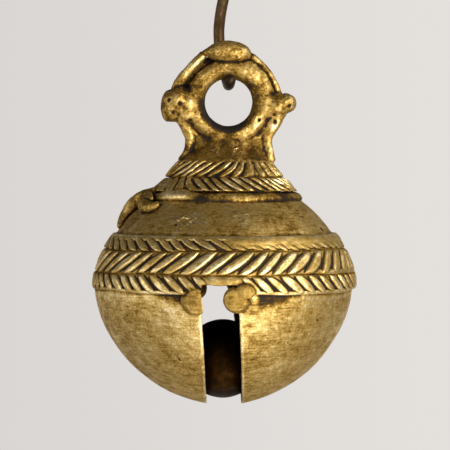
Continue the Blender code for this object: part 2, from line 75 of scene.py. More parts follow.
# Places and sizes that the frame gives
AXIS_X = middle("collar_rim").x
SHOULDER_HEIGHT = 20.4 * MM
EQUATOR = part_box("shoulder_dome")[1].z - SHOULDER_HEIGHT
SEAT = Vector((AXIS_X, 0, EQUATOR))
RING = middle("crown_ring") - SEAT  # from the bell's own origin, as everything below is
RING_OUTER = (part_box("crown_ring")[1].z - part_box("crown_ring")[0].z) / 2
RING_FOOT = RING.z - RING_OUTER
RING_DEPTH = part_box("crown_ring")[1].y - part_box("crown_ring")[0].y
COLLAR_LOW, COLLAR_HIGH = (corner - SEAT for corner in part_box("collar_rim"))

# The shell's curves, as the frame has them
BELL_RADIUS = 31.9 * MM
SHOULDER_RISE, SHOULDER_POWER = 28.8 * MM, 1.65
BOWL_DEPTH, BOWL_POWER = 30.8 * MM, 1.85
WALL = 2.2 * MM
ROW_EDGES = (12.3 * MM, 8.7 * MM, 3.1 * MM, -1.3 * MM)
ROW_PROUD = 0.75 * MM
ROW_THICKNESS = 1.9 * MM
CEILING = 2.5 * MM
NECK_TOP = SHOULDER_HEIGHT + 9.9 * MM
NECK_EDGES = (NECK_TOP, NECK_TOP - 4.1 * MM, NECK_TOP - 7.5 * MM)
NECK_RADII = (11.6 * MM, 14.9 * MM, 18.3 * MM)

# The slot leans a little to the right on its way down
SLOT_WIDTH = 8.5 * MM
SLOT_TOP = 1.0 * MM
SLOT_START = -1.80 * MM  # the slot's middle at the equator
SLOT_LEAN = -0.055  # sideways for each metre up
SLOT_FACE = (1, 0, -SLOT_LEAN)
FILED_STRIP = 0.9 * MM
LEFT_SWELL = 0.5 * MM  # how much wider the bowl is on its left side

# How finely the turned pieces are made, round the axis and from edge to edge
COLUMNS = 480
COLLAR_COLUMNS = 600
BELT_FINENESS = (1080, 30)
NECK_FINENESS = (900, 26)
CROWN_VOXEL, CROWN_ROUNDS = 0.225 * MM, 9

# These run into one another without a seam, so one skin stands for them
CROWN_NODES = ("crown_ring", "side_boss_left", "side_boss_right", "neck_core")
CROWN_NODES += ("crown_strand_lower_left", "crown_strand_lower_right")


# --- numbers along a surface ---


def shell_radius(height, inset=0.0):
    """The shell's radius at heights over the equator, as an array."""
    height = np.asarray(height, float)
    rise = np.where(height > 0, SHOULDER_RISE, BOWL_DEPTH) - inset
    power = np.where(height > 0, SHOULDER_POWER, BOWL_POWER)
    share = np.clip(np.abs(height) / rise, 0, 1)
    return (BELL_RADIUS - inset) * (1 - share**power) ** (1 / power)


def fade(value, start, end):
    """0 at start, 1 at end, smooth between."""
    share = np.clip((value - start) / (end - start), 0, 1)
    return share * share * (3 - 2 * share)


def chance(index, seed):
    """A fixed number from 0 to 1 for each whole number."""
    return np.mod(np.sin(index * 12.9898 + seed * 78.233) * 43758.5453, 1)


def lumps(points, size, seed, octaves=2):
    """Smooth unevenness from about -1 to 1, with lumps of that size."""
    at = points / size + np.array((seed * 7.3, seed * 3.1, -seed * 5.7))
    return np.array([noise.fractal(p, 1.0, 2.0, octaves) for p in at.tolist()])


def around(points):
    """Angle round the bell's axis: 0 at the front, positive to the right."""
    return np.arctan2(points[:, 0], -points[:, 1])


def slot_reach(points):
    """Distance to the right of the slot's middle."""
    return points[:, 0] - SLOT_START - SLOT_LEAN * points[:, 2]


def shell_point(angle, height, lift=0.0):
    """A place over the shell: angle from the front, height and lift in millimetres."""
    radius = float(shell_radius(height * MM)) + lift * MM
    return radius * math.sin(angle), -radius * math.cos(angle), height * MM


def direction(turn, tip):
    """A unit vector: turn from the front towards the right, and tip upwards."""
    return Vector((math.sin(turn) * math.cos(tip), -math.cos(turn) * math.cos(tip), math.sin(tip)))


def squared_off(value, power):
    """A sine or cosine drawn towards a square's corners."""
    return math.copysign(abs(value) ** power, value)


def new_object(name, data):
    obj = bpy.data.objects.new(name, data)
    bpy.context.scene.collection.objects.link(obj)
    return obj


# --- meshes ---


def read(items, field, width, kind=np.float32):
    """One row of numbers for each item of a mesh."""
    flat = np.empty(len(items) * width, kind)
    items.foreach_get(field, flat)
    return flat.reshape(-1, width).astype(float if kind is np.float32 else kind)


class Piece:
    """A mesh in the making, with its points and the marks that its finish reads."""

    def __init__(self, name, bm):
        self.name = name
        self.mesh = bpy.data.meshes.new(name)
        bm.to_mesh(self.mesh)
        bm.free()
        self.marks = {}

    @property
    def points(self):
        return read(self.mesh.vertices, "co", 3)

    @points.setter
    def points(self, moved):
        self.mesh.vertices.foreach_set("co", moved.astype(np.float32).ravel())
        self.mesh.update()

    @property
    def normals(self):
        return read(self.mesh.vertex_normals, "vector", 3)

    def swell(self, amount):
        """Moves each point along its normal."""
        self.points = self.points + self.normals * np.asarray(amount)[:, None]
        return self

    def roughen(self, *layers):
        """Unevenness in layers: height and lump size in millimetres, and a seed."""
        points = self.points
        return self.swell(sum(h * MM * lumps(points, size * MM, seed) for h, size, seed in layers))

    def relief(self, passes):
        """How far each point stands over the surface near it; more passes look wider."""
        points = self.points
        edges = read(self.mesh.edges, "vertices", 2, np.int32)
        first, second = edges.T
        count = np.bincount(edges.ravel(), minlength=len(points))[:, None]
        level = points.copy()
        for _ in range(passes):
            total = np.empty_like(level)
            for axis in range(3):
                total[:, axis] = np.bincount(first, level[second, axis], len(level))
                total[:, axis] += np.bincount(second, level[first, axis], len(level))
            level = (level + total / count) / 2
        return ((points - level) * self.normals).sum(axis=1)

    def dent(self, centre, radius, depth):
        """A casting pit, with grime in it."""
        far = np.linalg.norm(self.points - np.array(centre), axis=1) / radius
        pit = np.exp(-(far**2) * 1.6)
        self.mark("pit", np.maximum(self.marks.get("pit", 0), fade(pit, 0.2, 0.85)))
        return self.swell(-depth * pit)

    def mark(self, name, values):
        self.marks[name] = np.clip(values, 0, 1)
        return self


def lathe(outline, steps=COLUMNS, axis=(0, 0, 1), start=(1, 0, 0)):
    """A closed outline of (radius, height) points, carried once round an axis through the origin."""
    bm = bmesh.new()
    made = bmesh.ops.create_grid(bm, x_segments=steps, y_segments=len(outline), size=1)
    along, across = Vector(axis), Vector(start)
    aside = along.cross(across)
    for v in made["verts"]:
        column = round((v.co.x + 1) / 2 * steps) % steps
        radius, height = outline[round((v.co.y + 1) / 2 * len(outline)) % len(outline)]
        turn = math.tau * column / steps
        v.co = (across * math.cos(turn) + aside * math.sin(turn)) * radius + along * height
    bmesh.ops.remove_doubles(bm, verts=bm.verts, dist=0.001 * MM)
    bmesh.ops.delete(bm, geom=[e for e in bm.edges if e.is_wire], context="EDGES")
    bmesh.ops.recalc_face_normals(bm, faces=bm.faces)
    return bm


def curve_down(start, end, count, inset=0.0):
    """(radius, height) along the shell's curve, evenly by angle."""
    reach = (SHOULDER_RISE if start + end > 0 else BOWL_DEPTH) - inset
    low, high = (math.asin(max(-1, min(1, h / reach))) for h in (start, end))
    heights = reach * np.sin(np.linspace(low, high, count + 1))
    return list(zip(shell_radius(heights, inset), heights))


def smooth_route(points, samples):
    """Points of a Catmull-Rom curve through the given points."""
    points = [Vector(p) for p in points]
    ends = [2 * points[0] - points[1], *points, 2 * points[-1] - points[-2]]
    route = []
    for a, b, c, d in zip(ends, ends[1:], ends[2:], ends[3:]):
        for i in range(samples):
            t = i / samples
            pull = 2 * b + (c - a) * t + (2 * a - 5 * b + 4 * c - d) * t**2
            route.append((pull + (3 * b - a - 3 * c + d) * t**3) / 2)
    return [*route, points[-1]]


def loop_edges(made):
    """The edges of a loop that has just been made."""
    return list({e for v in made["verts"] for e in v.link_edges})


def round_end(bm, ring, out, radius):
    """Closes a rod's end with four narrowing steps of a dome."""
    for k in range(1, 5):
        grown = bmesh.ops.extrude_edge_only(bm, edges=ring)["geom"]
        verts = [g for g in grown if isinstance(g, bmesh.types.BMVert)]
        ring = [g for g in grown if isinstance(g, bmesh.types.BMEdge) and g.is_boundary]
        angle = k * math.pi / 10
        before = (k - 1) * math.pi / 10
        shrink = math.cos(angle) / math.cos(before)
        centre = sum((v.co for v in verts), Vector()) / len(verts)
        step = out * radius * (math.sin(angle) - math.sin(before)) * 0.8
        for v in verts:
            v.co = centre + (v.co - centre) * shrink + step
    bmesh.ops.contextual_create(bm, geom=ring)


def rod(route, radii, sides=28):
    """A rod with rounded ends along the route, its radius running through radii."""
    bm = bmesh.new()
    count = len(route) - 1
    rings = []
    for i, at in enumerate(route):
        ahead = (route[min(i + 1, count)] - route[max(i - 1, 0)]).normalized()
        radius = np.interp(i / count * (len(radii) - 1), range(len(radii)), radii)
        turn = ahead.to_track_quat("Z", "Y").to_matrix().to_4x4()
        made = bmesh.ops.create_circle(
            bm, segments=sides, radius=radius, matrix=Matrix.Translation(at) @ turn
        )
        rings.append(loop_edges(made))
    for near, far in zip(rings, rings[1:]):
        bmesh.ops.bridge_loops(bm, edges=near + far)
    for end, inner in ((0, 1), (-1, -2)):
        round_end(bm, rings[end], (route[end] - route[inner]).normalized(), radii[end])
    bmesh.ops.triangulate(bm, faces=[f for f in bm.faces if len(f.verts) > 4])
    bmesh.ops.recalc_face_normals(bm, faces=bm.faces)
    return bm


def ball(centre, half, subdivisions=5):
    bm = bmesh.new()
    bmesh.ops.create_icosphere(bm, subdivisions=subdivisions, radius=1)
    bmesh.ops.scale(bm, vec=half, verts=bm.verts)
    bmesh.ops.translate(bm, vec=centre, verts=bm.verts)
    return bm


def melted(bms, voxel, rounds):
    """Several closed shapes run together into one skin, as wax does."""
    joined = bpy.data.meshes.new("melt")
    total = bmesh.new()
    for bm in bms:
        bm.to_mesh(joined)
        bm.free()
        total.from_mesh(joined)
    total.to_mesh(joined)
    total.free()
    obj = new_object("melt", joined)
    remesh = obj.modifiers.new("remesh", "REMESH")
    remesh.mode = "VOXEL"
    remesh.voxel_size = voxel
    bpy.context.view_layer.update()
    evaluated = obj.evaluated_get(bpy.context.evaluated_depsgraph_get())
    bm = bmesh.new()
    bm.from_mesh(evaluated.to_mesh())
    bpy.data.objects.remove(obj)
    for _ in range(rounds):
        bmesh.ops.smooth_vert(
            bm, verts=bm.verts, factor=0.5, use_axis_x=True, use_axis_y=True, use_axis_z=True
        )
    bmesh.ops.recalc_face_normals(bm, faces=bm.faces)
    return bm


# --- plaited rows ---


def strokes(angle, down, count, lean, seed, fill=0.86, point=0.45, flat=4.0):
    """Height from 0 to 1 of slanting strokes; down runs from 0 at the row's top to 1.

    Each stroke is a flat-topped leaf that narrows towards both of its ends.
    """
    sway = 0.09 * np.sin(angle * 7 + seed) + 0.06 * np.sin(angle * 13 + 2 * seed)
    along = angle * count / (2 * np.pi) + lean * (down - 0.5) + sway
    which = np.mod(np.floor(along), count)
    within = along - np.floor(along)
    leaf = 1 - point * np.abs(2 * down - 1) ** 2.2
    width = fill * (1 - 0.20 * chance(which, seed)) * leaf
    off = np.abs(within - 0.5 - 0.06 * (chance(which, seed + 1) - 0.5)) * 2 / width
    bar = (1 - np.clip(off, 0, 1) ** flat) ** 0.75
    return bar * (0.88 + 0.24 * (chance(which, seed + 2) - 0.5))


def laid_along(down, middle_line, half, power):
    """A thread laid along a row: 1 on its middle line, rounding off to 0 at half its width."""
    return (1 - np.clip(np.abs(down - middle_line) / half, 0, 1) ** power) ** 0.5


def edge_sway(angle, seed, amount=0.28 * MM):
    """How far the line between two rows wanders up and down."""
    wander = np.sin(angle * 2 + seed) + 0.7 * np.sin(angle * 5 + 2.3 * seed)
    return amount * (wander + 0.5 * np.sin(angle * 11 + 4.1 * seed)) / 1.6


def plaited_row(name, edges, outer, fineness, sway, profile):
    """A ring between two heights, fine on its outer side.

    outer(height) is its radius, sway(angle) how far its two edges wander, and
    profile(points, angle, down) how far the outer side rises and how worn it is.
    """
    top, low = edges
    columns, lanes = fineness
    outline = [(outer(h), h) for h in np.linspace(top, low, lanes + 1)]
    outline += [(outer(h) - ROW_THICKNESS, h) for h in (low, top)]
    piece = Piece(name, lathe(outline, columns))
    points = piece.points
    x, y, z = points.T
    angle, radius, down = around(points), np.hypot(x, y), (top - z) / (top - low)
    outside = radius > outer(z) - 0.1 * MM
    rise, worn = profile(points, angle, down)
    radius = radius + outside * rise
    above, below = sway(angle)
    upper, lower = top + above, low + below
    x[:] = np.sin(angle) * radius
    y[:] = -np.cos(angle) * radius
    z[:] = upper + (lower - upper) * down
    piece.points = points
    return piece.mark("worn", outside * worn)


def belt_row(name, index, count, lean, relief, plain):
    """One of the three rows round the widest part.

    relief(angle) is the strokes' depth and plain(angle, down) a smooth strand over them.
    """

    def outer(height):
        return shell_radius(height) + ROW_PROUD

    def sway(angle):
        return edge_sway(angle, index) * (index > 0), edge_sway(angle, index + 1)

    def profile(points, angle, down):
        crown = 1 - np.abs(2 * down - 1) ** 4
        bars = strokes(angle, down, count, lean(angle), seed=3 + index)
        ends = (1 - np.clip(np.abs(2 * down - 1) * 1.01, 0, 1) ** 9) ** 0.6
        height = np.maximum(bars * ends * relief(angle), plain(angle, down))
        rise = 0.10 * MM * crown + 0.72 * MM * height - 0.30 * MM
        return rise + 0.10 * MM * lumps(points, 3 * MM, index), height**2

    edges = ROW_EDGES[index : index + 2]
    return plaited_row(name, edges, outer, BELT_FINENESS, sway, profile)


def upper_row():
    """Open strokes on the left under a smooth rim; on the right a smooth strand over them."""

    def lean(angle):
        return -1.0 - 0.45 * np.cos(angle)

    def over(angle):
        return fade(angle, -0.16, 0.12) * (1 - fade(angle, 2.9, 3.1))

    def relief(angle):
        return 1 - 0.25 * over(angle)

    def plain(angle, down):
        rim = laid_along(down, 0.12, 0.32 - 0.12 * np.cos(angle), 3)
        strand = laid_along(down, 0.36, 0.5, 3)
        return np.maximum(0.72 * rim, over(angle) * strand * (0.9 - 0.35 * fade(down, 0.3, 0.7)))

    return belt_row("band_braid_upper", 0, 52, lean, relief, plain)


def middle_row():
    """Broad strokes that lean the other way, with a smooth lip on the right."""

    def lean(angle):
        return 1.65 - 0.9 * fade(np.sin(angle), 0.45, 1)

    def relief(angle):
        return 1 + 0 * angle

    def plain(angle, down):
        return 0.8 * laid_along(down, 0.94, 0.16, 2) * fade(np.sin(angle), 0.6, 0.85)

    return belt_row("band_braid_middle", 1, 46, lean, relief, plain)


def over_slot(points):
    """Lifts what would hang into the slot up to the slot's roof."""
    inside = np.abs(slot_reach(points)) < SLOT_WIDTH / 2
    roof = SLOT_TOP + 0.12 * MM * np.sin(points[:, 0] / MM)
    points[:, 2] = np.where(inside, np.maximum(points[:, 2], roof), points[:, 2])
    return points


def lower_row():
    """Its strokes run out into a plain lip, and the slot cuts into it."""

    def lean(angle):
        return -1.25 + 0.55 * fade(-np.sin(angle), 0.5, 1)

    def calm(angle):
        """1 over the slot, where the strand is nearly plain."""
        across = np.minimum(np.abs(angle + 0.03), np.pi - np.abs(angle))
        return 1 - fade(across, 0.10, 0.20)

    def relief(angle):
        return 1 - 0.25 * calm(angle)

    def plain(angle, down):
        lip = laid_along(down, 0.95, 0.15, 2)
        return np.maximum(0.7 * lip, 0.75 * calm(angle) * (1 - np.abs(2 * down - 1) ** 4))

    piece = belt_row("band_braid_lower", 2, 56, lean, relief, plain)
    piece.points = over_slot(piece.points)
    return piece


def neck_row(name, index, count, lean, depth, seed):
    """One of the two rows round the neck; lean(angle) is the strokes' slant."""
    top, low = NECK_EDGES[index : index + 2]
    wide, wider = NECK_RADII[index : index + 2]

    def outer(height):
        return wide + (wider - wide) * (top - height) / (top - low) - 0.2 * MM

    def sway(angle):
        return edge_sway(angle, seed, 0.15 * MM), edge_sway(angle, seed + 1, 0.15 * MM)

    def profile(points, angle, down):
        bars = strokes(angle, down, count, lean(angle), seed, fill=0.90, point=0.25, flat=2.2)
        height = bars * (1 - 0.6 * np.abs(2 * down - 1) ** 8)
        rough = 0.30 * MM * lumps(points, 2.5 * MM, seed)
        rough += 0.08 * MM * lumps(points, 0.9 * MM, seed)
        return depth * (height - 0.45) + rough, height**3 * 0.7

    return plaited_row(name, (top, low), outer, NECK_FINENESS, sway, profile)


def upper_neck_row():
    """Long slanting threads on the left that open into an upright fan on the right."""

    def lean(angle):
        return 2.1 - 2.4 * fade(np.sin(angle), 0.05, 0.75)

    return neck_row("neck_braid_upper", 0, 32, lean, 0.95 * MM, seed=11)


def lower_neck_row():
    """Threads that slant the other way and stand upright on the left."""

    def lean(angle):
        return -1.7 + 1.5 * fade(-np.sin(angle), 0.35, 0.8)

    return neck_row("neck_braid_lower", 1, 38, lean, 0.90 * MM, seed=14)


# --- shell ---


def crumpled_glints(points, patches):
    """Patches of wrinkled casting skin, with painted glints: angle round the axis, height, reach and
    strength.
    """
    total = np.zeros(len(points))
    for angle, height, reach, strength in patches:
        radius = float(shell_radius(height * MM))
        far = np.hypot((around(points) - angle) * radius, (points[:, 2] - height * MM) * 1.4)
        total = np.maximum(total, strength * fade(far, reach * MM, 0.3 * reach * MM))
    return total * fade(lumps(points, 1.5 * MM, 56), -0.3, 0.4)


def pock(piece, pits):
    """Casting pits in the shell."""
    for angle, height, radius, depth in pits:
        piece.dent(shell_point(angle, height), radius * MM, depth * MM)


SHOULDER_PITS = (  # angle from the front, height, radius, depth
    (1.16, 13.6, 0.75, 0.5),
    (0.93, 16.6, 0.4, 0.25),
    (-0.5, 14.8, 0.35, 0.2),
    (2.2, 15.5, 0.6, 0.4),
    (-2.0, 16.5, 0.5, 0.3),
)
# Wrinkled patches on the shoulder, also painted brighter as glints
SHOULDER_SCAR_GLINTS = ((-0.42, 16.6, 5.0, 0.6), (0.15, 17.4, 4.0, 0.25), (2.4, 16.5, 4.5, 0.4))
BOWL_PITS = (
    (0.55, -13, 0.30, 0.16),
    (0.80, -8, 0.35, 0.2),
    (-0.75, -9, 0.30, 0.15),
    (-0.45, -17, 0.25, 0.14),
    (1.1, -16, 0.3, 0.15),
    (2.4, -12, 0.5, 0.3),
    (-2.7, -15, 0.4, 0.25),
)
# Wrinkled patches on the bowl, also painted brighter as glints
BOWL_SCAR_GLINTS = ((-0.50, -4.5, 4.5, 0.35), (0.36, -4.6, 3.0, 0.25), (2.6, -6.0, 4.5, 0.35))


def shoulder():
    """The shell's upper half, with a skirt that runs on behind the band."""
    outline = [(0, SHOULDER_HEIGHT), (14 * MM, SHOULDER_HEIGHT + 0.5 * MM)]
    outline += curve_down(SHOULDER_HEIGHT + 0.6 * MM, ROW_EDGES[0] - 0.6 * MM, 38)
    outline += [(shell_radius(ROW_EDGES[1]) - 1.0 * MM, ROW_EDGES[1])]
    outline += [(shell_radius(0) - 0.8 * MM, 0)]
    outline += reversed(curve_down(SHOULDER_HEIGHT - CEILING, 0, 30, inset=WALL))
    outline += [(0, SHOULDER_HEIGHT - CEILING)]
    piece = Piece("shoulder_dome", lathe(outline))
    piece.roughen((0.22, 9, 1), (0.05, 2, 2))
    pock(piece, SHOULDER_PITS)
    piece.points = points = over_slot(piece.points)
    return piece.mark("scar", crumpled_glints(points, SHOULDER_SCAR_GLINTS))


def open_slot(bm):
    """Cuts the slot through the bowl and walls its sides between the two skins."""
    half = SLOT_WIDTH / 2
    cuts = []
    for step in (0.0, 0.12, 0.3, 0.55, 0.9):
        for side in (-1, 1):
            cuts.append(((SLOT_START + side * (half + step * MM), 0, 0), SLOT_FACE))
    cuts.append(((0, 0, SLOT_TOP), (0, 0, 1)))
    for place, facing in cuts:
        geom = bm.verts[:] + bm.edges[:] + bm.faces[:]
        bmesh.ops.bisect_plane(bm, geom=geom, plane_co=place, plane_no=facing)

    def in_slot(face):
        at = face.calc_center_median()
        reach = at.x - SLOT_START - SLOT_LEAN * at.z
        return abs(reach) < half and at.z < SLOT_TOP

    bmesh.ops.delete(bm, geom=[f for f in bm.faces if in_slot(f)], context="FACES")
    bmesh.ops.bridge_loops(bm, edges=[e for e in bm.edges if e.is_boundary])


def under_band(points):
    """Painted shadow and brown crust beneath the band on both sides of the slot, front and back."""
    angle = np.arctan2(np.abs(points[:, 0]), np.abs(points[:, 1]))
    spread = fade(angle, 0.20, 0.26) * (1 - fade(angle, 0.42, 0.62))
    depth = 3.4 * MM - 2.2 * MM * fade(angle, 0.25, 0.6)
    drop = (ROW_EDGES[3] - 0.6 * MM - points[:, 2]) / depth
    return spread * (1 - fade(drop, 0.2, 1.0))


def bowl_blank():
    """The shell's lower half, turned and slotted."""
    rim = 1.6 * MM
    outline = [(float(shell_radius(rim)) - 0.8 * MM, rim)]
    outline += curve_down(-1.0 * MM, -0.9995 * BOWL_DEPTH, 92)
    outline += [(0, -BOWL_DEPTH), (0, WALL - BOWL_DEPTH)]
    outline += reversed(curve_down(-0.02 * MM, -0.999 * (BOWL_DEPTH - WALL), 40, inset=WALL))
    outline += [(float(shell_radius(rim, WALL)), rim)]
    bm = lathe(outline)
    open_slot(bm)
    bmesh.ops.remove_doubles(bm, verts=bm.verts, dist=0.004 * MM)
    bmesh.ops.recalc_face_normals(bm, faces=bm.faces)
    return Piece("lower_bowl", bm)


def bowl():
    """The lower half with its filed slot edges, its crust and painted shadow under the band, and its
    uneven skin.
    """
    piece = bowl_blank()
    points = piece.points
    x, y, z = points.T
    outside = np.hypot(x, y) > shell_radius(z, 0.5 * WALL)
    x -= LEFT_SWELL * np.clip(-x / BELL_RADIUS, 0, 1)
    piece.points = points
    reach = np.abs(slot_reach(points)) - SLOT_WIDTH / 2
    below = fade(z, SLOT_TOP + 0.2 * MM, SLOT_TOP - 0.2 * MM)
    strip = below * (1 - np.clip(reach / FILED_STRIP, 0, 1))
    uneven = 0.20 * MM * lumps(points, 11 * MM, 4) + 0.035 * MM * lumps(points, 2.2 * MM, 5)
    edge = np.where(outside, strip**3 * 0.22 * MM, strip**3 * 0.1 * MM)
    piece.swell(np.where(outside, uneven, 0.6 * uneven) * (1 - strip) - edge)
    points = piece.points
    wander = below * (1 - np.clip(reach / (2 * MM), 0, 1)) * 0.10 * MM
    points[:, 0] += wander * lumps(points * (0, 1, 1), 9 * MM, 6)
    piece.points = points
    # painted shadow and crust under the band darken the colour here
    piece.mark("grime", outside * under_band(points))
    piece.mark("filed", np.where(outside, fade(strip, 0.02, 0.35), 0.35 * strip))
    piece.mark("scar", outside * crumpled_glints(points, BOWL_SCAR_GLINTS))
    pock(piece, BOWL_PITS)
    return piece


def collar():
    """A wax thread round the neck's foot, flattened where its ends overlap."""
    low, high = COLLAR_LOW.z - 0.7 * MM, COLLAR_HIGH.z - 0.35 * MM
    outer = COLLAR_HIGH.x + 0.15 * MM
    half, thick = (high - low) / 2, 1.6 * MM
    outline = []
    for t in np.linspace(0, 2 * np.pi, 29)[:-1]:
        lift = half * squared_off(math.sin(t), 0.8)
        slope = 0.45 * (lift - half)
        radius = outer - thick + thick * math.cos(t) - slope - 0.9 * half
        outline.append((radius, (high + low) / 2 + lift))
    piece = Piece("collar_rim", lathe(outline, COLLAR_COLUMNS))
    points = piece.points
    angle = around(points)
    lens = np.exp(-(((angle + 0.72) / 0.30) ** 4))
    piece.swell(
        0.13 * MM * lumps(points, 4 * MM, 7)
        + 0.06 * MM * lumps(points, 1.2 * MM, 8)
        + 0.14 * MM * np.sin(3 * angle + 1)
        + 0.35 * MM * lens
    )
    points = piece.points
    points[:, 2] += lens * 0.55 * MM + edge_sway(angle, 5, 0.18 * MM)
    piece.points = points
    piece.mark("grime", (1 - lens) * (0.18 + 0.35 * fade(lumps(points, 6 * MM, 9), -0.6, 0.7)))
    return piece.mark("worn", lens * fade(points[:, 2], low, high))


def slot_boss(name, offset, side, height, radius, tail):
    """A button beside the slot; side is 1 in front and -1 behind."""
    seat = float(shell_radius(height)) + 0.35 * MM
    middle_x = SLOT_START + SLOT_LEAN * height + offset
    turn = math.asin(middle_x / seat)
    shapes = [ball((0, 0, 0), (radius, 1.55 * MM, radius), 4)]
    if tail:
        shapes.append(ball((1.9 * MM, -0.5 * MM, 1.9 * MM), (2.5 * MM, 1.5 * MM, 1.8 * MM), 4))
    bm = melted(shapes, 0.14 * MM, 8 if tail else 3)
    facing = turn if side > 0 else math.pi - turn
    place = Matrix.Rotation(facing, 4, "Z") @ Matrix.Translation((0, -seat, height))
    bmesh.ops.transform(bm, matrix=place, verts=bm.verts)
    piece = Piece(name, bm)
    points = piece.points
    x, y, _ = points.T
    out = -side * y
    crown = seat * math.cos(turn) + 1.0 * MM
    y[:] = -side * np.where(out > crown, crown + (out - crown) * 0.45, out)
    if side > 0 and abs(offset) > 4.5 * MM:
        edge = SLOT_WIDTH / 2 - 0.05 * MM
        reach = slot_reach(points) * np.sign(offset)
        x += np.sign(offset) * np.maximum(0, edge - reach)
    piece.points = points
    piece.swell(0.10 * MM * lumps(points, 2.2 * MM, offset * 900))
    return piece.mark("worn", fade(out, crown - 0.6 * MM, crown))


SLOT_BOSSES = (  # offset from the slot, side, height, radius, and whether it has a tail
    ("slot_boss_front_left", -6.0, 1, -2.8, 3.3, False),
    ("slot_boss_front_right", 3.9, 1, -2.4, 3.2, True),
    ("slot_boss_back_left", -5.4, -1, -3.5, 3.0, False),
    ("slot_boss_back_right", 5.4, -1, -2.2, 2.7, False),
)


def slot_bosses():
    return [
        slot_boss(name, offset * MM, side, height * MM, radius * MM, tail)
        for name, offset, side, height, radius, tail in SLOT_BOSSES
    ]


# --- crown ---


def ring():
    """The suspension ring: flattish worn face, a rounded bore and thin webs out to the threads."""
    band = 4.7 * MM
    centre, half = RING_OUTER - band / 2, RING_DEPTH / 2
    outline = []
    for t in np.linspace(0, 2 * np.pi, 49)[:-1]:
        c, s = math.cos(t), math.sin(t)
        square = 0.74 if c > 0 else 0.92
        width = squared_off(c, square) * band / 2
        outline.append((centre + width, squared_off(s, square) * half))
    bm = lathe(outline, 240, axis=(0, 1, 0), start=(0, 0, 1))
    for v in bm.verts:
        turn = math.atan2(v.co.x, v.co.z)  # 0 at the top, positive to the right
        outer = float(fade(math.hypot(v.co.x, v.co.z), centre, RING_OUTER))
        if v.co.y < 0:
            v.co.y += 0.5 * MM * outer * float(fade(abs(turn - 1.0), 1.0, 0.6))
        web = float(fade(abs(turn), 0.15, 0.5) * (1 - fade(abs(turn), 1.3, 1.6)))
        behind = float(fade(v.co.y, 0.0, 1.2 * MM))
        web *= outer * (2.2 * behind if turn < 0 else 1.3 + 0.4 * behind) * MM
        v.co += Vector((math.sin(turn), 0, math.cos(turn))) * web
    bmesh.ops.translate(bm, vec=RING, verts=bm.verts)
    return bm


def bead(at, half):
    """A lump of wax, placed from the ring's centre in millimetres."""
    return ball(RING + Vector(at) * MM, Vector(half) * MM, 4)


def thread(places, radii):
    """A wax thread through places given from the ring's centre in millimetres."""
    route = smooth_route([Vector(p) * MM + RING for p in places], 12)
    return rod(route, [r * MM for r in radii])


def saddle():
    """The web under the ring: thin where the ring stands in it, round at its foot."""
    foot = RING_FOOT
    loops = [  # height, half width, half depth
        (foot + 3.2 * MM, 9.3, 1.8),
        (foot + 1.4 * MM, 9.8, 2.5),
        (foot - 0.2 * MM, 9.8, 3.6),
        (foot - 1.4 * MM, 9.9, 5.2),
        (foot - 2.6 * MM, 10.3, 7.8),
        (NECK_TOP + 0.1 * MM, 11.2, 11.0),
        (NECK_TOP - 1.0 * MM, 11.4, 11.5),
        (SHOULDER_HEIGHT, 15.0, 15.0),
    ]
    bm = bmesh.new()
    rims = []
    for i, (height, width, depth) in enumerate(loops):
        shift = RING.x * fade(height, NECK_TOP, foot)
        size = Matrix.Diagonal((width * MM, depth * MM, 1, 1))
        made = bmesh.ops.create_circle(
            bm,
            cap_ends=i in (0, len(loops) - 1),
            segments=48,
            radius=1,
            matrix=Matrix.Translation((shift, 0, height)) @ size,
        )
        rims.append(loop_edges(made))
    for upper, lower in zip(rims, rims[1:]):
        bmesh.ops.bridge_loops(bm, edges=upper + lower)
    bmesh.ops.recalc_face_normals(bm, faces=bm.faces)
    return bm


# Lumps of wax, each a centre and half sizes from the ring's centre, in millimetres
LEFT_BOSS = (
    ((-14.0, 0.2, -0.8), (3.1, 4.0, 4.1)),
    ((-12.3, -0.9, 0.2), (2.9, 3.5, 3.7)),
    ((-10.3, -0.7, -0.9), (3.2, 3.4, 4.4)),
    ((-15.3, 0.4, -2.0), (1.6, 3.2, 2.9)),
)
RIGHT_BOSS = (
    ((14.2, 0, -0.2), (2.8, 3.5, 2.5)),
    ((12.0, -0.5, -0.7), (3.6, 3.4, 2.9)),
    ((12.3, 0, -2.8), (2.2, 2.7, 2.0)),
    ((9.5, -0.5, -0.8), (2.9, 3.2, 3.8)),
)
WEB_CORNERS = (((-8.8, 0.2, -6.6), (1.9, 1.9, 3.4)), ((8.8, 0.2, -6.6), (1.9, 1.9, 3.4)))
# The threads from the side bosses down to the neck
LEFT_LEG = ((-12.2, -0.5, -2.4), (-11.4, -0.8, -4.4), (-10.3, -1, -6.8), (-9.6, -1, -9.2))
LEFT_LEG += ((-10.1, -1.4, -11.9), (-11.3, -1.8, -14.6))
RIGHT_LEG = ((12.2, -0.4, -3.0), (11.3, -0.8, -5.2), (10.0, -0.9, -7.6), (9.6, -1, -9.8))
RIGHT_LEG += ((9.9, -1.3, -12.2), (10.6, -1.4, -14.4))
LEFT_LEG_RADII, RIGHT_LEG_RADII = (1.9, 1.5, 1.25, 1.2, 1.4), (2.0, 1.7, 1.25, 1.2, 1.1)
# Where painted shade darkens the deep gaps round the ring
HOLLOWS = (  # across and up from the ring's centre, and radius
    (-4.9, 10.7, 1.9),
    (-10.4, 3.6, 1.3),
    (5.0, 11.0, 1.1),
)
PITS = (  # across, ahead and up from the ring's centre, and radius
    (-15.1, -3.4, 0.5, 0.70),
    (-12.1, -4.2, -0.5, 0.90),
    (-13.7, -3.7, -3.0, 0.80),
    (15.2, -2.9, -1.1, 0.75),
    (10.8, -3.7, 0.2, 0.40),
    (11.5, -2.2, -4.9, 0.90),
    (9.0, -3.0, -1.8, 0.35),
    (7.6, -3.0, -4.6, 0.60),
    (-6.6, -3.2, -3.2, 0.50),
    (-9.6, -2.4, -4.2, 0.60),
)


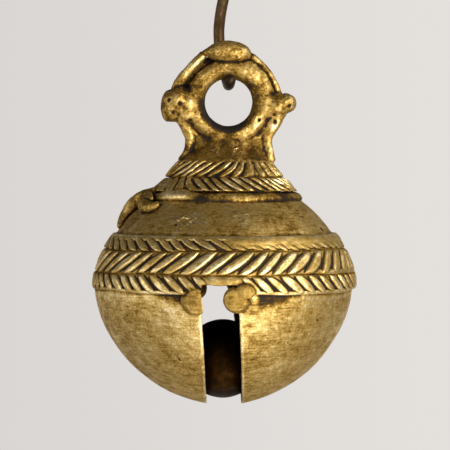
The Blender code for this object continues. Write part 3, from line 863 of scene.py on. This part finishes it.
def hollows(piece):
    """Painted shade in the deep gaps that the cap and the threads leave round the ring."""
    local = piece.points - np.array(RING)
    grime = np.zeros(len(local))
    for across, up, size in HOLLOWS:
        far = np.hypot(local[:, 0] - across * MM, local[:, 2] - up * MM)
        grime = np.maximum(grime, fade(far, size * MM, 0.5 * size * MM))
    return grime * fade(local[:, 1], 2.5 * MM, 1.5 * MM)


def from_ring(points):
    """Places from the ring's centre, turn from its top, and distance from its axis."""
    local = points - np.array(RING)
    return local, np.arctan2(local[:, 0], local[:, 2]), np.hypot(local[:, 0], local[:, 2])


def bore_share(reach):
    """1 on the bore's wall, 0 on the ring's face."""
    return 1 - fade(reach, RING_OUTER - 3.9 * MM, RING_OUTER - 2.2 * MM)


def neck_share(points):
    """1 on the bare neck, between the ring's foot and the plaited rows."""
    height = points[:, 2]
    low = fade(height, RING_FOOT - 4.5 * MM, RING_FOOT - 1.5 * MM)
    return low * fade(height, RING_FOOT + 3 * MM, RING_FOOT)


def leg_share(local):
    """1 on the two legs beside the neck."""
    return fade(np.abs(local[:, 0]), 8.0 * MM, 9.2 * MM) * fade(local[:, 2], -7 * MM, -9 * MM)


def crown_form(points):
    """Lumps and upright furrows, calmer in the bore."""
    local, _, reach = from_ring(points)
    wander = 2.2 * lumps(points, 4 * MM, 51)
    furrow = neck_share(points) * np.sin(points[:, 0] / MM * 1.8 + wander)
    rough = 0.24 * MM * lumps(points, 4 * MM, 21) + 0.12 * MM * lumps(points, 1.8 * MM, 22)
    rough += 0.02 * MM * lumps(points, 0.8 * MM, 25) + 0.12 * MM * furrow
    return rough * (1 - 0.6 * bore_share(reach) * (local[:, 2] > -9 * MM))


def neck_scar_glints(points):
    """Two patches of wrinkled skin with painted glints on the front of the neck."""
    scar_glints = np.zeros(len(points))
    for across, size in ((-3.9, 1.9), (1.9, 2.9)):
        aside = points[:, 0] - RING.x - across * MM
        far = np.hypot(aside, (points[:, 2] - RING_FOOT + 1.9 * MM) * 0.9)
        far = np.hypot(far, (points[:, 1] + 6 * MM) * 0.45)
        patch = 1 - fade(far, 0.4 * size * MM, size * MM)
        scar_glints = np.maximum(scar_glints, (points[:, 1] < 0) * patch)
    return scar_glints


def crown_shade(points, scar_glints):
    """Painted shade on the neck beside its legs and on the ring's upper left, patchy on the ring."""
    local, turn, reach = from_ring(points)
    neck = neck_share(points)
    shade = fade(np.abs(local[:, 0]), 3 * MM, 7.5 * MM) * neck * (1 - 0.8 * leg_share(local))
    brown = fade(lumps(points, 3 * MM, 55), -0.5, 0.5) * fade(turn, 0.5, 0.1)
    brown *= fade(reach, RING_OUTER - 3.9 * MM, RING_OUTER - 3.0 * MM)
    brown *= (local[:, 2] > -6 * MM) & (reach < RING_OUTER + 1 * MM)
    # painted shade: darker on the neck's sides, a little over the whole neck, and on the ring's upper
    # left face
    return (0.24 * shade + 0.04 * neck) * (1 - scar_glints) + 0.26 * brown


def bore_darkening(points):
    """Darker in the bore, most of all at its foot."""
    _, turn, reach = from_ring(points)
    low = fade(-np.cos(turn - 0.35), -0.1, 0.7)
    return (reach < RING_OUTER) * bore_share(reach) * (0.10 + 0.90 * low)


def crown_wear_and_highlights(points):
    """Wear and painted highlights: the ring's flat right side, its left inner rim, legs and front."""
    local, turn, reach = from_ring(points)
    front = points[:, 1] < 0
    facet = fade(np.abs(turn - 1.0), 0.95, 0.7)
    facet *= fade(reach, RING_OUTER - 3.4 * MM, RING_OUTER - 2.6 * MM)
    facet *= (reach < RING_OUTER + 1.3 * MM) & front
    rim = fade(np.abs(reach - RING_OUTER + 4.0 * MM), 0.7 * MM, 0.2 * MM)
    rim *= 0.9 * fade(np.abs(turn + 1.3), 1.0, 0.6) * front
    face = 0.35 * fade(-points[:, 1], 1 * MM, 4 * MM) * (local[:, 2] > -8 * MM)
    legs, neck = 0.8 * leg_share(local), 0.5 * neck_share(points)
    return np.maximum.reduce((face, facet, rim, legs, neck))


def crown():
    """Ring, side bosses, legs and saddle, run into one another as the wax was."""
    shapes = [ring(), saddle(), *(bead(*lobe) for lobe in LEFT_BOSS + RIGHT_BOSS + WEB_CORNERS)]
    shapes += [thread(LEFT_LEG, LEFT_LEG_RADII), thread(RIGHT_LEG, RIGHT_LEG_RADII)]
    piece = Piece("crown", melted(shapes, CROWN_VOXEL, CROWN_ROUNDS))
    points = piece.points
    bare_neck = neck_share(points) * (1 - leg_share(from_ring(points)[0]))
    scar_glints = neck_scar_glints(points)
    piece.swell(crown_form(points))
    piece.swell(scar_glints * 0.20 * MM * lumps(points, 0.9 * MM, 54))
    piece.mark("bore", bore_darkening(points))
    # painted shade on the neck, the ring's left face and in the gaps round the ring
    piece.mark("grime", np.maximum(crown_shade(points, scar_glints), hollows(piece)))
    piece.mark("scar", scar_glints)
    piece.mark("calm", np.maximum(0.6 * scar_glints, 0.55 * bare_neck))
    piece.mark("worn", crown_wear_and_highlights(points))
    for across, ahead, up, size in PITS:
        piece.dent(RING + Vector((across, ahead, up)) * MM, size * MM, 0.6 * size * MM)
    return piece


def cap():
    """A cake of wax pressed down over the ring's top, pointed at its left end."""
    half = Vector((6.5, 4.9, 3.1)) * MM
    piece = Piece("crown_cap", ball((0, 0, 0), half, 6))
    points = piece.points
    x, y, z = points.T
    across = x / half.x
    left = np.clip(-across, 0, 1)
    z *= 1 - 0.55 * left**1.5
    z += 0.9 * MM * left * fade(z, 0.5 * MM, -1 * MM)
    z -= across**2 * 0.5 * MM
    y -= np.sign(y) * np.maximum(np.abs(y) - 3.6 * MM, 0) * 0.4
    flat = 2.2 * MM
    z[:] = np.where(z > flat, flat + (z - flat) * 0.8, z)
    piece.points = points + np.array(RING) + np.array((-0.7 * MM, 0, 12.4 * MM))
    points = piece.points
    piece.roughen((0.15, 4, 23), (0.06, 1.3, 24))
    for across, up in ((-1.9, 14.0), (2.6, 13.4)):
        piece.dent(RING + Vector((across, -4.1, up)) * MM, 0.35 * MM, 0.15 * MM)
    return piece.mark("worn", 0.3 * fade(points[:, 2], RING.z + 11 * MM, RING.z + 15 * MM))


LEFT_STRAND = ((-13.6, 0, 1.8), (-12.5, -0.6, 4.6), (-10.0, -0.9, 7.9))
LEFT_STRAND += ((-7.8, -0.9, 10.2), (-6.5, -0.4, 11.6))
RIGHT_STRAND = ((13.0, 0, 0.8), (12.0, -0.3, 3.4), (10.7, -0.4, 6.2))
RIGHT_STRAND += ((8.7, -0.4, 8.7), (6.2, -0.2, 10.9), (4.0, 0, 12.0))


def strand(name, places, radii, seed):
    piece = Piece(name, thread(places, radii))
    front = -piece.points[:, 1]
    piece.roughen((0.14, 2.6, seed), (0.05, 1, seed))
    # the thread's front side is painted brighter: painted highlight
    return piece.mark("worn", 0.5 * fade(front, 0, 1.6 * MM))


def strands():
    """Two threads from the bosses up to the cap."""
    return [
        strand("crown_strand_upper_left", LEFT_STRAND, (1.1, 1.2, 1.15, 1.15, 1.1), 41),
        strand("crown_strand_upper_right", RIGHT_STRAND, (0.9, 0.8, 0.85, 0.95, 0.9), 42),
    ]


# --- creature on the shoulder ---


TRUNK = ((16, 22.6, 1.2), (8, 21.2, 2.4), (1, 19.2, 2.4))
TRUNK += ((-1, 17.2, 1.8), (1, 15.4, 1.1), (4, 14.0, 0.5))
LIMBS = (  # degrees from the left side to the front, height and lift; then radii
    (TRUNK, (1.4, 1.7, 1.7, 1.35, 1.1, 0.8)),
    (((18, 19.8, 0.6), (26, 19.3, 1.5), (35, 18.9, 0.9), (38, 19.4, 0.6)), (1.0, 1.6, 1.35, 0.9)),
    (((8, 20.8, 1.6), (18, 21.6, 2.2), (27, 21.0, 1.8)), (1.0, 1.25, 0.6)),
    (((0, 20.2, 1.2), (-14, 19.6, 1.0), (-23, 18.2, 0.6), (-28, 17.2, 0.4)), (0.9, 0.8, 0.8, 0.8)),
    (((0, 15.4, 0.6), (-9, 15.8, 0.8), (-15, 14.6, 0.4)), (0.8, 0.7, 0.7)),
)


def limb(places, radii):
    """A wax thread over the shoulder."""
    over = [shell_point(math.radians(degrees - 90), *rest) for degrees, *rest in places]
    return rod(smooth_route(over, 8), [r * MM for r in radii], sides=20)


def creature():
    """A creeping figure of wax thread: trunk with head and tail, and four curled legs."""
    piece = Piece("shoulder_figure", melted([limb(*one) for one in LIMBS], 0.15 * MM, 5))
    return piece.roughen((0.12, 1.8, 61))


# --- hook and pellet ---


def hook():
    """The wire's route is the frame's own, so the ring still hangs in its bend."""
    wire = 1.4 * MM
    drop = 34.0 * MM
    cap_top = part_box("crown_cap")[1].z + drop + 0.3 * MM
    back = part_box("crown_cap")[1].y + 0.7 * MM + wire
    bow, reach, lift = 2.3 * MM, 4.6 * MM, 1.0 * MM
    bend = -drop
    eye_radius = 3.5 * MM + wire
    foot = bend + cap_top
    span = -eye_radius - foot
    shank = [
        (0.3 * MM, -reach, bend + lift),
        (0.1 * MM, -reach / 2, bend + 0.05 * lift),
        (0, 0, bend),
        (0, 0.37 * back, bend + 0.15 * MM),
        (-0.15 * bow, 0.77 * back, bend + 0.15 * cap_top),
        (-0.5 * bow, 0.97 * back, bend + 0.42 * cap_top),
        (-0.85 * bow, back, bend + 0.78 * cap_top),
        (-bow, 0.9 * back, foot + 0.12 * span),
        (-0.85 * bow, 0.65 * back, foot + 0.36 * span),
        (-0.45 * bow, 0.3 * back, foot + 0.64 * span),
        (-0.25 * bow, 0.06 * back, foot + 0.88 * span),
    ]
    eye = []
    for degrees in range(-55, 231, 19):
        angle = math.radians(degrees)
        eye.append((eye_radius * math.cos(angle), 0, eye_radius * math.sin(angle)))
    route = [p - SEAT for p in smooth_route([*shank, *eye], 12)]
    piece = Piece("hanging_hook", rod(route, [wire, wire], sides=32))
    points = piece.points
    piece.roughen((0.03, 1.5, 71))
    # painted shade on the front of the wire round its bend, by the ring
    return piece.mark("grime", (points[:, 1] < 0) * fade(points[:, 2] + SEAT.z, -30 * MM, -33 * MM))


def pellet():
    low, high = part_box("pellet")
    centre = (low + high) / 2 - SEAT + Vector((-0.4, 0, -0.2)) * MM
    radius = (high.z - low.z) / 2
    piece = Piece("pellet", ball(centre, (radius, radius, radius), 6))
    points = piece.points
    piece.swell(0.12 * MM * lumps(points, 5 * MM, 72) - 0.1 * MM)
    for turn, tip in ((0.5, 0.7), (2.2, 0.5), (4.0, -0.1)):
        piece.dent(centre + direction(turn, tip) * radius, 0.8 * MM, 0.25 * MM)
    return piece


# --- finishes ---


class Nodes:
    """A tree whose nodes are added and joined in the order that they are read."""

    def __init__(self, tree):
        self.tree = tree
        self.places = self.add("TexCoord").outputs

    def add(self, kind, operation=None):
        node = self.tree.nodes.new("ShaderNode" + kind)
        if operation:
            node.operation = operation
        return node

    def feed(self, socket, value):
        if isinstance(value, bpy.types.NodeSocket):
            self.tree.links.new(value, socket)
        else:
            socket.default_value = value

    def fill(self, node, values):
        for name, value in values.items():
            self.feed(node.inputs[name], value)

    def math(self, operation, *values):
        node = self.add("Math", operation)
        self.fill(node, dict(enumerate(values)))
        return node.outputs[0]

    def sum(self, total, *terms):
        """Adds (value, factor) pairs to the total."""
        for value, factor in terms:
            total = self.math("MULTIPLY_ADD", value, factor, total)
        return total

    def span(self, value, low, high, start=0.0, end=1.0, smooth=True):
        """Reads value from low to high as start to end, held at both."""
        node = self.add("MapRange")
        node.interpolation_type = "SMOOTHSTEP" if smooth else "LINEAR"
        limits = {"From Min": low, "From Max": high, "To Min": start, "To Max": end}
        self.fill(node, {"Value": value, **limits})
        return node.outputs["Result"]

    def ramp(self, value, stops):
        """Reads value as a colour between (position, colour) stops."""
        node = self.add("ValToRGB")
        elements = node.color_ramp.elements
        while len(elements) < len(stops):
            elements.new(0.5)
        for element, (position, colour) in zip(elements, stops):
            element.position = position
            element.color = (*colour, 1)
        self.feed(node.inputs["Fac"], value)
        return node.outputs["Color"]

    def mix(self, share, first, second):
        """The first colour where share is 0, the second where it is 1."""
        node = self.add("Mix")
        node.data_type = "RGBA"
        self.fill(node, {0: share, 6: first, 7: second})
        return node.outputs[2]


class Finish(Nodes):
    """A piece's material."""

    def __init__(self, name):
        self.material = bpy.data.materials.new(name)
        self.material.use_nodes = True
        super().__init__(self.material.node_tree)

    def set(self, name, value):
        self.feed(self.tree.nodes["Principled BSDF"].inputs[name], value)

    def grain(self, size, detail=4.0, stretch=(1, 1, 1), seed=0.0, roughness=0.55, warp=0.0):
        """Noise from 0 to 1 with grains of that size in metres, stretched along each axis."""
        scale, shift = [1 / (size * s) for s in stretch], (seed, seed * 0.7, -seed)
        mapping = self.add("Mapping")
        self.fill(mapping, {"Scale": scale, "Location": shift, "Vector": self.places["Object"]})
        node = self.add("TexNoise")
        self.fill(node, {"Scale": 1.0, "Detail": detail, "Roughness": roughness})
        self.fill(node, {"Distortion": warp, "Vector": mapping.outputs["Vector"]})
        return node.outputs["Fac"]

    def mark(self, name):
        node = self.add("Attribute")
        node.attribute_name = name
        return node.outputs["Fac"]

    def bump(self, height, distance, strength, under=None):
        """Relief on the surface, over what is under it."""
        node = self.add("Bump")
        self.fill(node, {"Strength": strength, "Distance": distance, "Height": height})
        if under:
            self.feed(node.inputs["Normal"], under)
        return node.outputs["Normal"]


# From the grime and painted shade in the hollows to the bare metal and painted highlights on the
# ridges
BRASS_TONES = [
    (0.00, (0.012, 0.006, 0.002)),
    (0.18, (0.050, 0.024, 0.005)),
    (0.38, (0.215, 0.124, 0.022)),
    (0.58, (0.430, 0.284, 0.078)),
    (0.78, (0.640, 0.456, 0.165)),
    (1.00, (0.900, 0.730, 0.400)),
]


def brass(name, lift, streaks, mottle, speckle):
    """Cast brass: bright on what hands wear and on painted highlights, olive brown between, dark with
    grime and painted shade in the hollows.
    """
    f = Finish(name)
    broad = f.grain(9 * MM, 3, seed=1.0)
    patches = f.grain(2.6 * MM, 6, seed=2.0, roughness=0.65)
    fine = f.grain(0.50 * MM, 4, seed=3.0)
    lines = f.grain(0.9 * MM, 4, stretch=(3.0, 3.0, 0.55), seed=4.0, roughness=0.6, warp=0.5)
    hairs = f.grain(0.6 * MM, 3, stretch=(14, 14, 0.35), seed=5.0)
    raised, sunk, crevice = f.mark("raised"), f.mark("sunk"), f.mark("crevice")
    worn, filed, pit = f.mark("worn"), f.mark("filed"), f.mark("pit")
    bore, scar = f.mark("bore"), f.mark("scar")
    crumple = f.grain(0.8 * MM, 2, seed=10.0)
    wear = f.sum(0.5, (f.span(patches, 0.35, 0.65), 0.5))
    tone = f.sum(
        0.56 + lift,
        (f.span(broad, 0.30, 0.70, -0.5, 0.5), mottle),
        (f.span(patches, 0.28, 0.72, -0.5, 0.5), mottle * 0.8),
        (f.span(fine, 0.25, 0.75, -0.5, 0.5), speckle),
        (f.span(lines, 0.30, 0.70, -0.5, 0.5), streaks),
        (f.span(lines, 0.60, 0.72), -0.8 * streaks),
        (f.span(hairs, 0.30, 0.70, -0.5, 0.5), streaks * 0.5),
        (f.math("MULTIPLY", raised, wear), 0.30),
        # wear, and painted highlights on the ring, legs, neck and threads
        (f.math("MULTIPLY", worn, wear), 0.14),
        (filed, 0.09),
        # painted glints on the wrinkled patches
        (scar, 0.34),
        (sunk, -0.62),
        # darker where pieces meet: painted shade, partly grime
        (crevice, -0.45),
        (pit, -0.70),
        (bore, -0.62),
        # grime on the collar; painted shade under the band, on the neck and ring and in the gaps round
        # it
        (f.mark("grime"), -0.56),
    )
    f.set("Base Color", f.ramp(tone, BRASS_TONES))
    f.set("Metallic", f.span(tone, 0.05, 0.30, 0.45, 1.0))
    rough = f.span(tone, 0.10, 0.95, 0.78, 0.42)
    rough = f.sum(rough, (f.span(fine, 0.3, 0.7, -0.5, 0.5), 0.14), (scar, -0.26))
    f.set("Roughness", rough)
    skin = f.bump(fine, 0.14 * MM, 0.65)
    skin = f.bump(patches, 0.35 * MM, 0.35, skin)
    skin = f.bump(lines, 0.12 * MM, 0.40, skin)
    skin = f.bump(f.math("MULTIPLY", scar, crumple), 0.9 * MM, 0.9, skin)
    f.set("Normal", skin)
    return f.material


def wire_finish():
    f = Finish("dark_wire")
    patches = f.grain(1.8 * MM, 5, seed=6.0)
    fine = f.grain(0.35 * MM, 3, seed=7.0)
    # the darkening read here is painted shade on the wire's front at its bend
    tone = f.sum(0.0, (patches, 0.7), (fine, 0.4), (f.mark("raised"), 0.2), (f.mark("grime"), -0.4))
    stops = [(0.2, (0.012, 0.006, 0.003)), (0.55, (0.042, 0.024, 0.009)), (0.9, (0.110, 0.066, 0.026))]
    f.set("Base Color", f.ramp(tone, stops))
    f.set("Metallic", 0.8)
    f.set("Roughness", f.span(patches, 0.3, 0.7, 0.55, 0.38))
    f.set("Normal", f.bump(fine, 0.06 * MM, 0.5))
    return f.material


def pellet_finish():
    f = Finish("pellet_iron")
    patches = f.grain(3 * MM, 6, seed=8.0, roughness=0.6)
    fine = f.grain(0.5 * MM, 4, seed=9.0)
    tone = f.sum(0.0, (patches, 0.8), (fine, 0.3), (f.mark("pit"), -0.3))
    stops = [(0.3, (0.004, 0.002, 0.0005)), (0.6, (0.032, 0.014, 0.003)), (0.9, (0.100, 0.048, 0.011))]
    f.set("Base Color", f.ramp(tone, stops))
    f.set("Metallic", 1.0)
    f.set("Roughness", f.span(patches, 0.3, 0.7, 0.62, 0.42))
    f.set("Normal", f.bump(fine, 0.12 * MM, 0.6))
    return f.material


# --- assembly ---


def mark_hollows(piece, wide, fine_height):
    """Marks ridges as raised and grooves as sunk, from the surface's own form."""
    up = piece.relief(6) / fine_height + piece.relief(wide) / (0.10 * MM)
    up *= 1 - piece.marks.pop("calm", 0)
    piece.mark("raised", fade(up, 0.25, 2.2))
    piece.mark("sunk", fade(-up, 0.25, 2.6))


def crevice_share(piece):
    """How much of the painted shade and grime in its crevices a piece has kept."""
    if "cap" in piece.name:
        return 0.6
    if "slot_boss" in piece.name:
        return 0.6 * (1 - piece.marks["worn"])
    if piece.name in ("crown", "neck_braid_upper"):
        return 1 - 0.65 * fade(np.abs(piece.points[:, 2] - NECK_TOP), 1.6 * MM, 0.6 * MM)
    return 1


def mark_crevices(pieces, reach=0.9 * MM):
    """Marks where a piece comes close to its neighbours, for painted shade and grime there."""
    trees, boxes = {}, {}
    for name, piece in pieces.items():
        points = piece.points
        faces = [tuple(p.vertices) for p in piece.mesh.polygons]
        trees[name] = BVHTree.FromPolygons(points.tolist(), faces)
        boxes[name] = (points.min(axis=0) - reach, points.max(axis=0) + reach)
    for name, piece in pieces.items():
        points = piece.points
        closest = np.full(len(points), reach)
        for other, tree in trees.items():
            low, high = boxes[other]
            if other == name:
                continue
            near = np.flatnonzero(((points > low) & (points < high)).all(axis=1))
            for i in near.tolist():
                hit = tree.find_nearest(points[i], closest[i])
                if hit[3] is not None:
                    closest[i] = min(closest[i], hit[3])
        piece.mark("crevice", crevice_share(piece) * (1 - fade(closest, 0.05 * MM, reach)))


def put(piece, material, body):
    """Makes the piece an object in its place, riding with its body."""
    for name, values in piece.marks.items():
        layer = piece.mesh.attributes.new(name, "FLOAT", "POINT")
        layer.data.foreach_set("value", values.astype(np.float32))
    piece.points = piece.points + np.array(SEAT)
    piece.mesh.materials.append(material)
    piece.mesh.shade_smooth()
    obj = new_object(piece.name + "_skin", piece.mesh)
    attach(obj, body)
    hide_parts(*CROWN_NODES if piece.name == "crown" else (piece.name,))


FINE_RELIEF, CROWN_RELIEF = 0.020 * MM, 0.045 * MM
COATS = (  # what a piece's name holds, then the finish's lift, streaks, mottle and speckle
    ("shoulder_dome", "cast_brass_shoulder", -0.03, 0.26, 0.28, 0.26),
    ("lower_bowl", "cast_brass_shell", 0.0, 0.22, 0.20, 0.28),
    ("slot_boss", "cast_brass_boss", -0.17, 0.12, 0.12, 0.14),
    ("neck", "cast_brass_neck", -0.06, 0.06, 0.36, 0.24),
    ("braid", "cast_brass_rows", 0.0, 0.06, 0.18, 0.16),
    ("", "cast_brass_crown", -0.12, 0.10, 0.32, 0.28),
)


def build_bell():
    made = [upper_row(), middle_row(), lower_row(), upper_neck_row(), lower_neck_row()]
    made += [shoulder(), bowl(), collar(), *slot_bosses()]
    made += [crown(), cap(), *strands(), creature()]
    for piece in made:
        mark_hollows(piece, 30, CROWN_RELIEF if piece.name == "crown" else FINE_RELIEF)
    mark_crevices({piece.name: piece for piece in made})
    coats = [(word, brass(*settings)) for word, *settings in COATS]
    for piece in made:
        coat = next(finish for word, finish in coats if word in piece.name)
        put(piece, coat, "bell")


def build_loose():
    wire, shot = hook(), pellet()
    for piece in (wire, shot):
        mark_hollows(piece, 20, FINE_RELIEF)
    put(wire, wire_finish(), "hook")
    put(shot, pellet_finish(), "pellet")


# --- stage ---

VIEW_DISTANCE = 465 * MM
VIEW_HEIGHT = 112.5 * MM  # what the picture takes in, at the bell's axis
VIEW_CENTRE = Vector((AXIS_X + 0.12 * MM, 0, EQUATOR + 14.25 * MM))


def camera():
    away = direction(math.radians(-1.1), math.radians(1.5))
    data = bpy.data.cameras.new("camera")
    data.sensor_width = 36
    data.lens = 36 * VIEW_DISTANCE / VIEW_HEIGHT
    data.clip_start, data.clip_end = 0.01, 20
    obj = new_object("camera", data)
    obj.location = VIEW_CENTRE + away * VIEW_DISTANCE
    obj.rotation_euler = (-away).to_track_quat("-Z", "Y").to_euler()
    bpy.context.scene.camera = obj


def softbox(name, place, size, power, colour):
    data = bpy.data.lights.new(name, "AREA")
    data.shape = "RECTANGLE"
    data.size, data.size_y = size
    data.energy = power
    data.color = colour
    obj = new_object(name, data)
    obj.location = VIEW_CENTRE + Vector(place)
    obj.rotation_euler = Vector(place).to_track_quat("Z", "Y").to_euler()


ROOM_TONES = [  # from straight below to straight above
    (0.30, (0.60, 0.56, 0.51)),
    (0.48, (0.50, 0.48, 0.45)),
    (0.60, (0.30, 0.29, 0.28)),
    (0.80, (0.10, 0.095, 0.09)),
]
# The wall that the camera sees, with painted shade: darker on the left than on the right
WALL_LEFT, WALL_RIGHT = (0.700, 0.670, 0.652, 1), (0.775, 0.745, 0.718, 1)


def room():
    """A pale room: bright below, dim above and to the right, with a wall behind that is painted a
    little darker on its left as shade.
    """
    world = bpy.data.worlds.new("room")
    bpy.context.scene.world = world
    world.use_nodes = True
    n = Nodes(world.node_tree)
    split = n.add("SeparateXYZ")
    n.feed(split.inputs[0], n.places["Generated"])
    across, height = split.outputs["X"], split.outputs["Z"]
    shaded = n.add("VectorMath", "SCALE")
    n.feed(shaded.inputs[0], n.ramp(n.span(height, -1, 1, smooth=False), ROOM_TONES))
    n.feed(shaded.inputs["Scale"], n.span(across, 0.55, 1.0, 1.0, 0.35, smooth=False))
    wall = n.mix(n.span(across, -0.10, 0.12, smooth=False), WALL_LEFT, WALL_RIGHT)
    straight = n.add("LightPath").outputs["Is Camera Ray"]
    n.feed(n.tree.nodes["Background"].inputs["Color"], n.mix(straight, shaded.outputs[0], wall))


FLOOR_RADIUS, FLOOR_DROP = 0.90, 0.45


def floor():
    """A pale round floor, well below the hanging bell."""
    bm = bmesh.new()
    bmesh.ops.create_circle(bm, cap_ends=True, segments=96, radius=FLOOR_RADIUS)
    bmesh.ops.translate(bm, vec=(0, 0, CAD_BOX[0][2] - FLOOR_DROP), verts=bm.verts)
    mesh = bpy.data.meshes.new("floor")
    bm.to_mesh(mesh)
    bm.free()
    coat = Finish("pale_floor")
    coat.set("Base Color", (0.86, 0.84, 0.81, 1))
    coat.set("Roughness", 0.8)
    mesh.materials.append(coat.material)
    new_object("floor", mesh)


def stage():
    camera()
    softbox("key", (0.36, -0.56, 0.04), (0.50, 0.50), 6.2, (1.0, 0.96, 0.90))
    softbox("side", (0.55, -0.10, 0.38), (0.40, 0.40), 1.3, (1.0, 0.97, 0.92))
    softbox("fill", (-0.60, -0.30, 0.06), (0.30, 0.50), 1.2, (1.0, 0.98, 0.96))
    softbox("low", (0.05, -0.40, -0.52), (0.60, 0.30), 5.0, (1.0, 0.97, 0.92))
    room()
    floor()
    bpy.context.scene.view_settings.view_transform = "Standard"


build_bell()
build_loose()
stage()
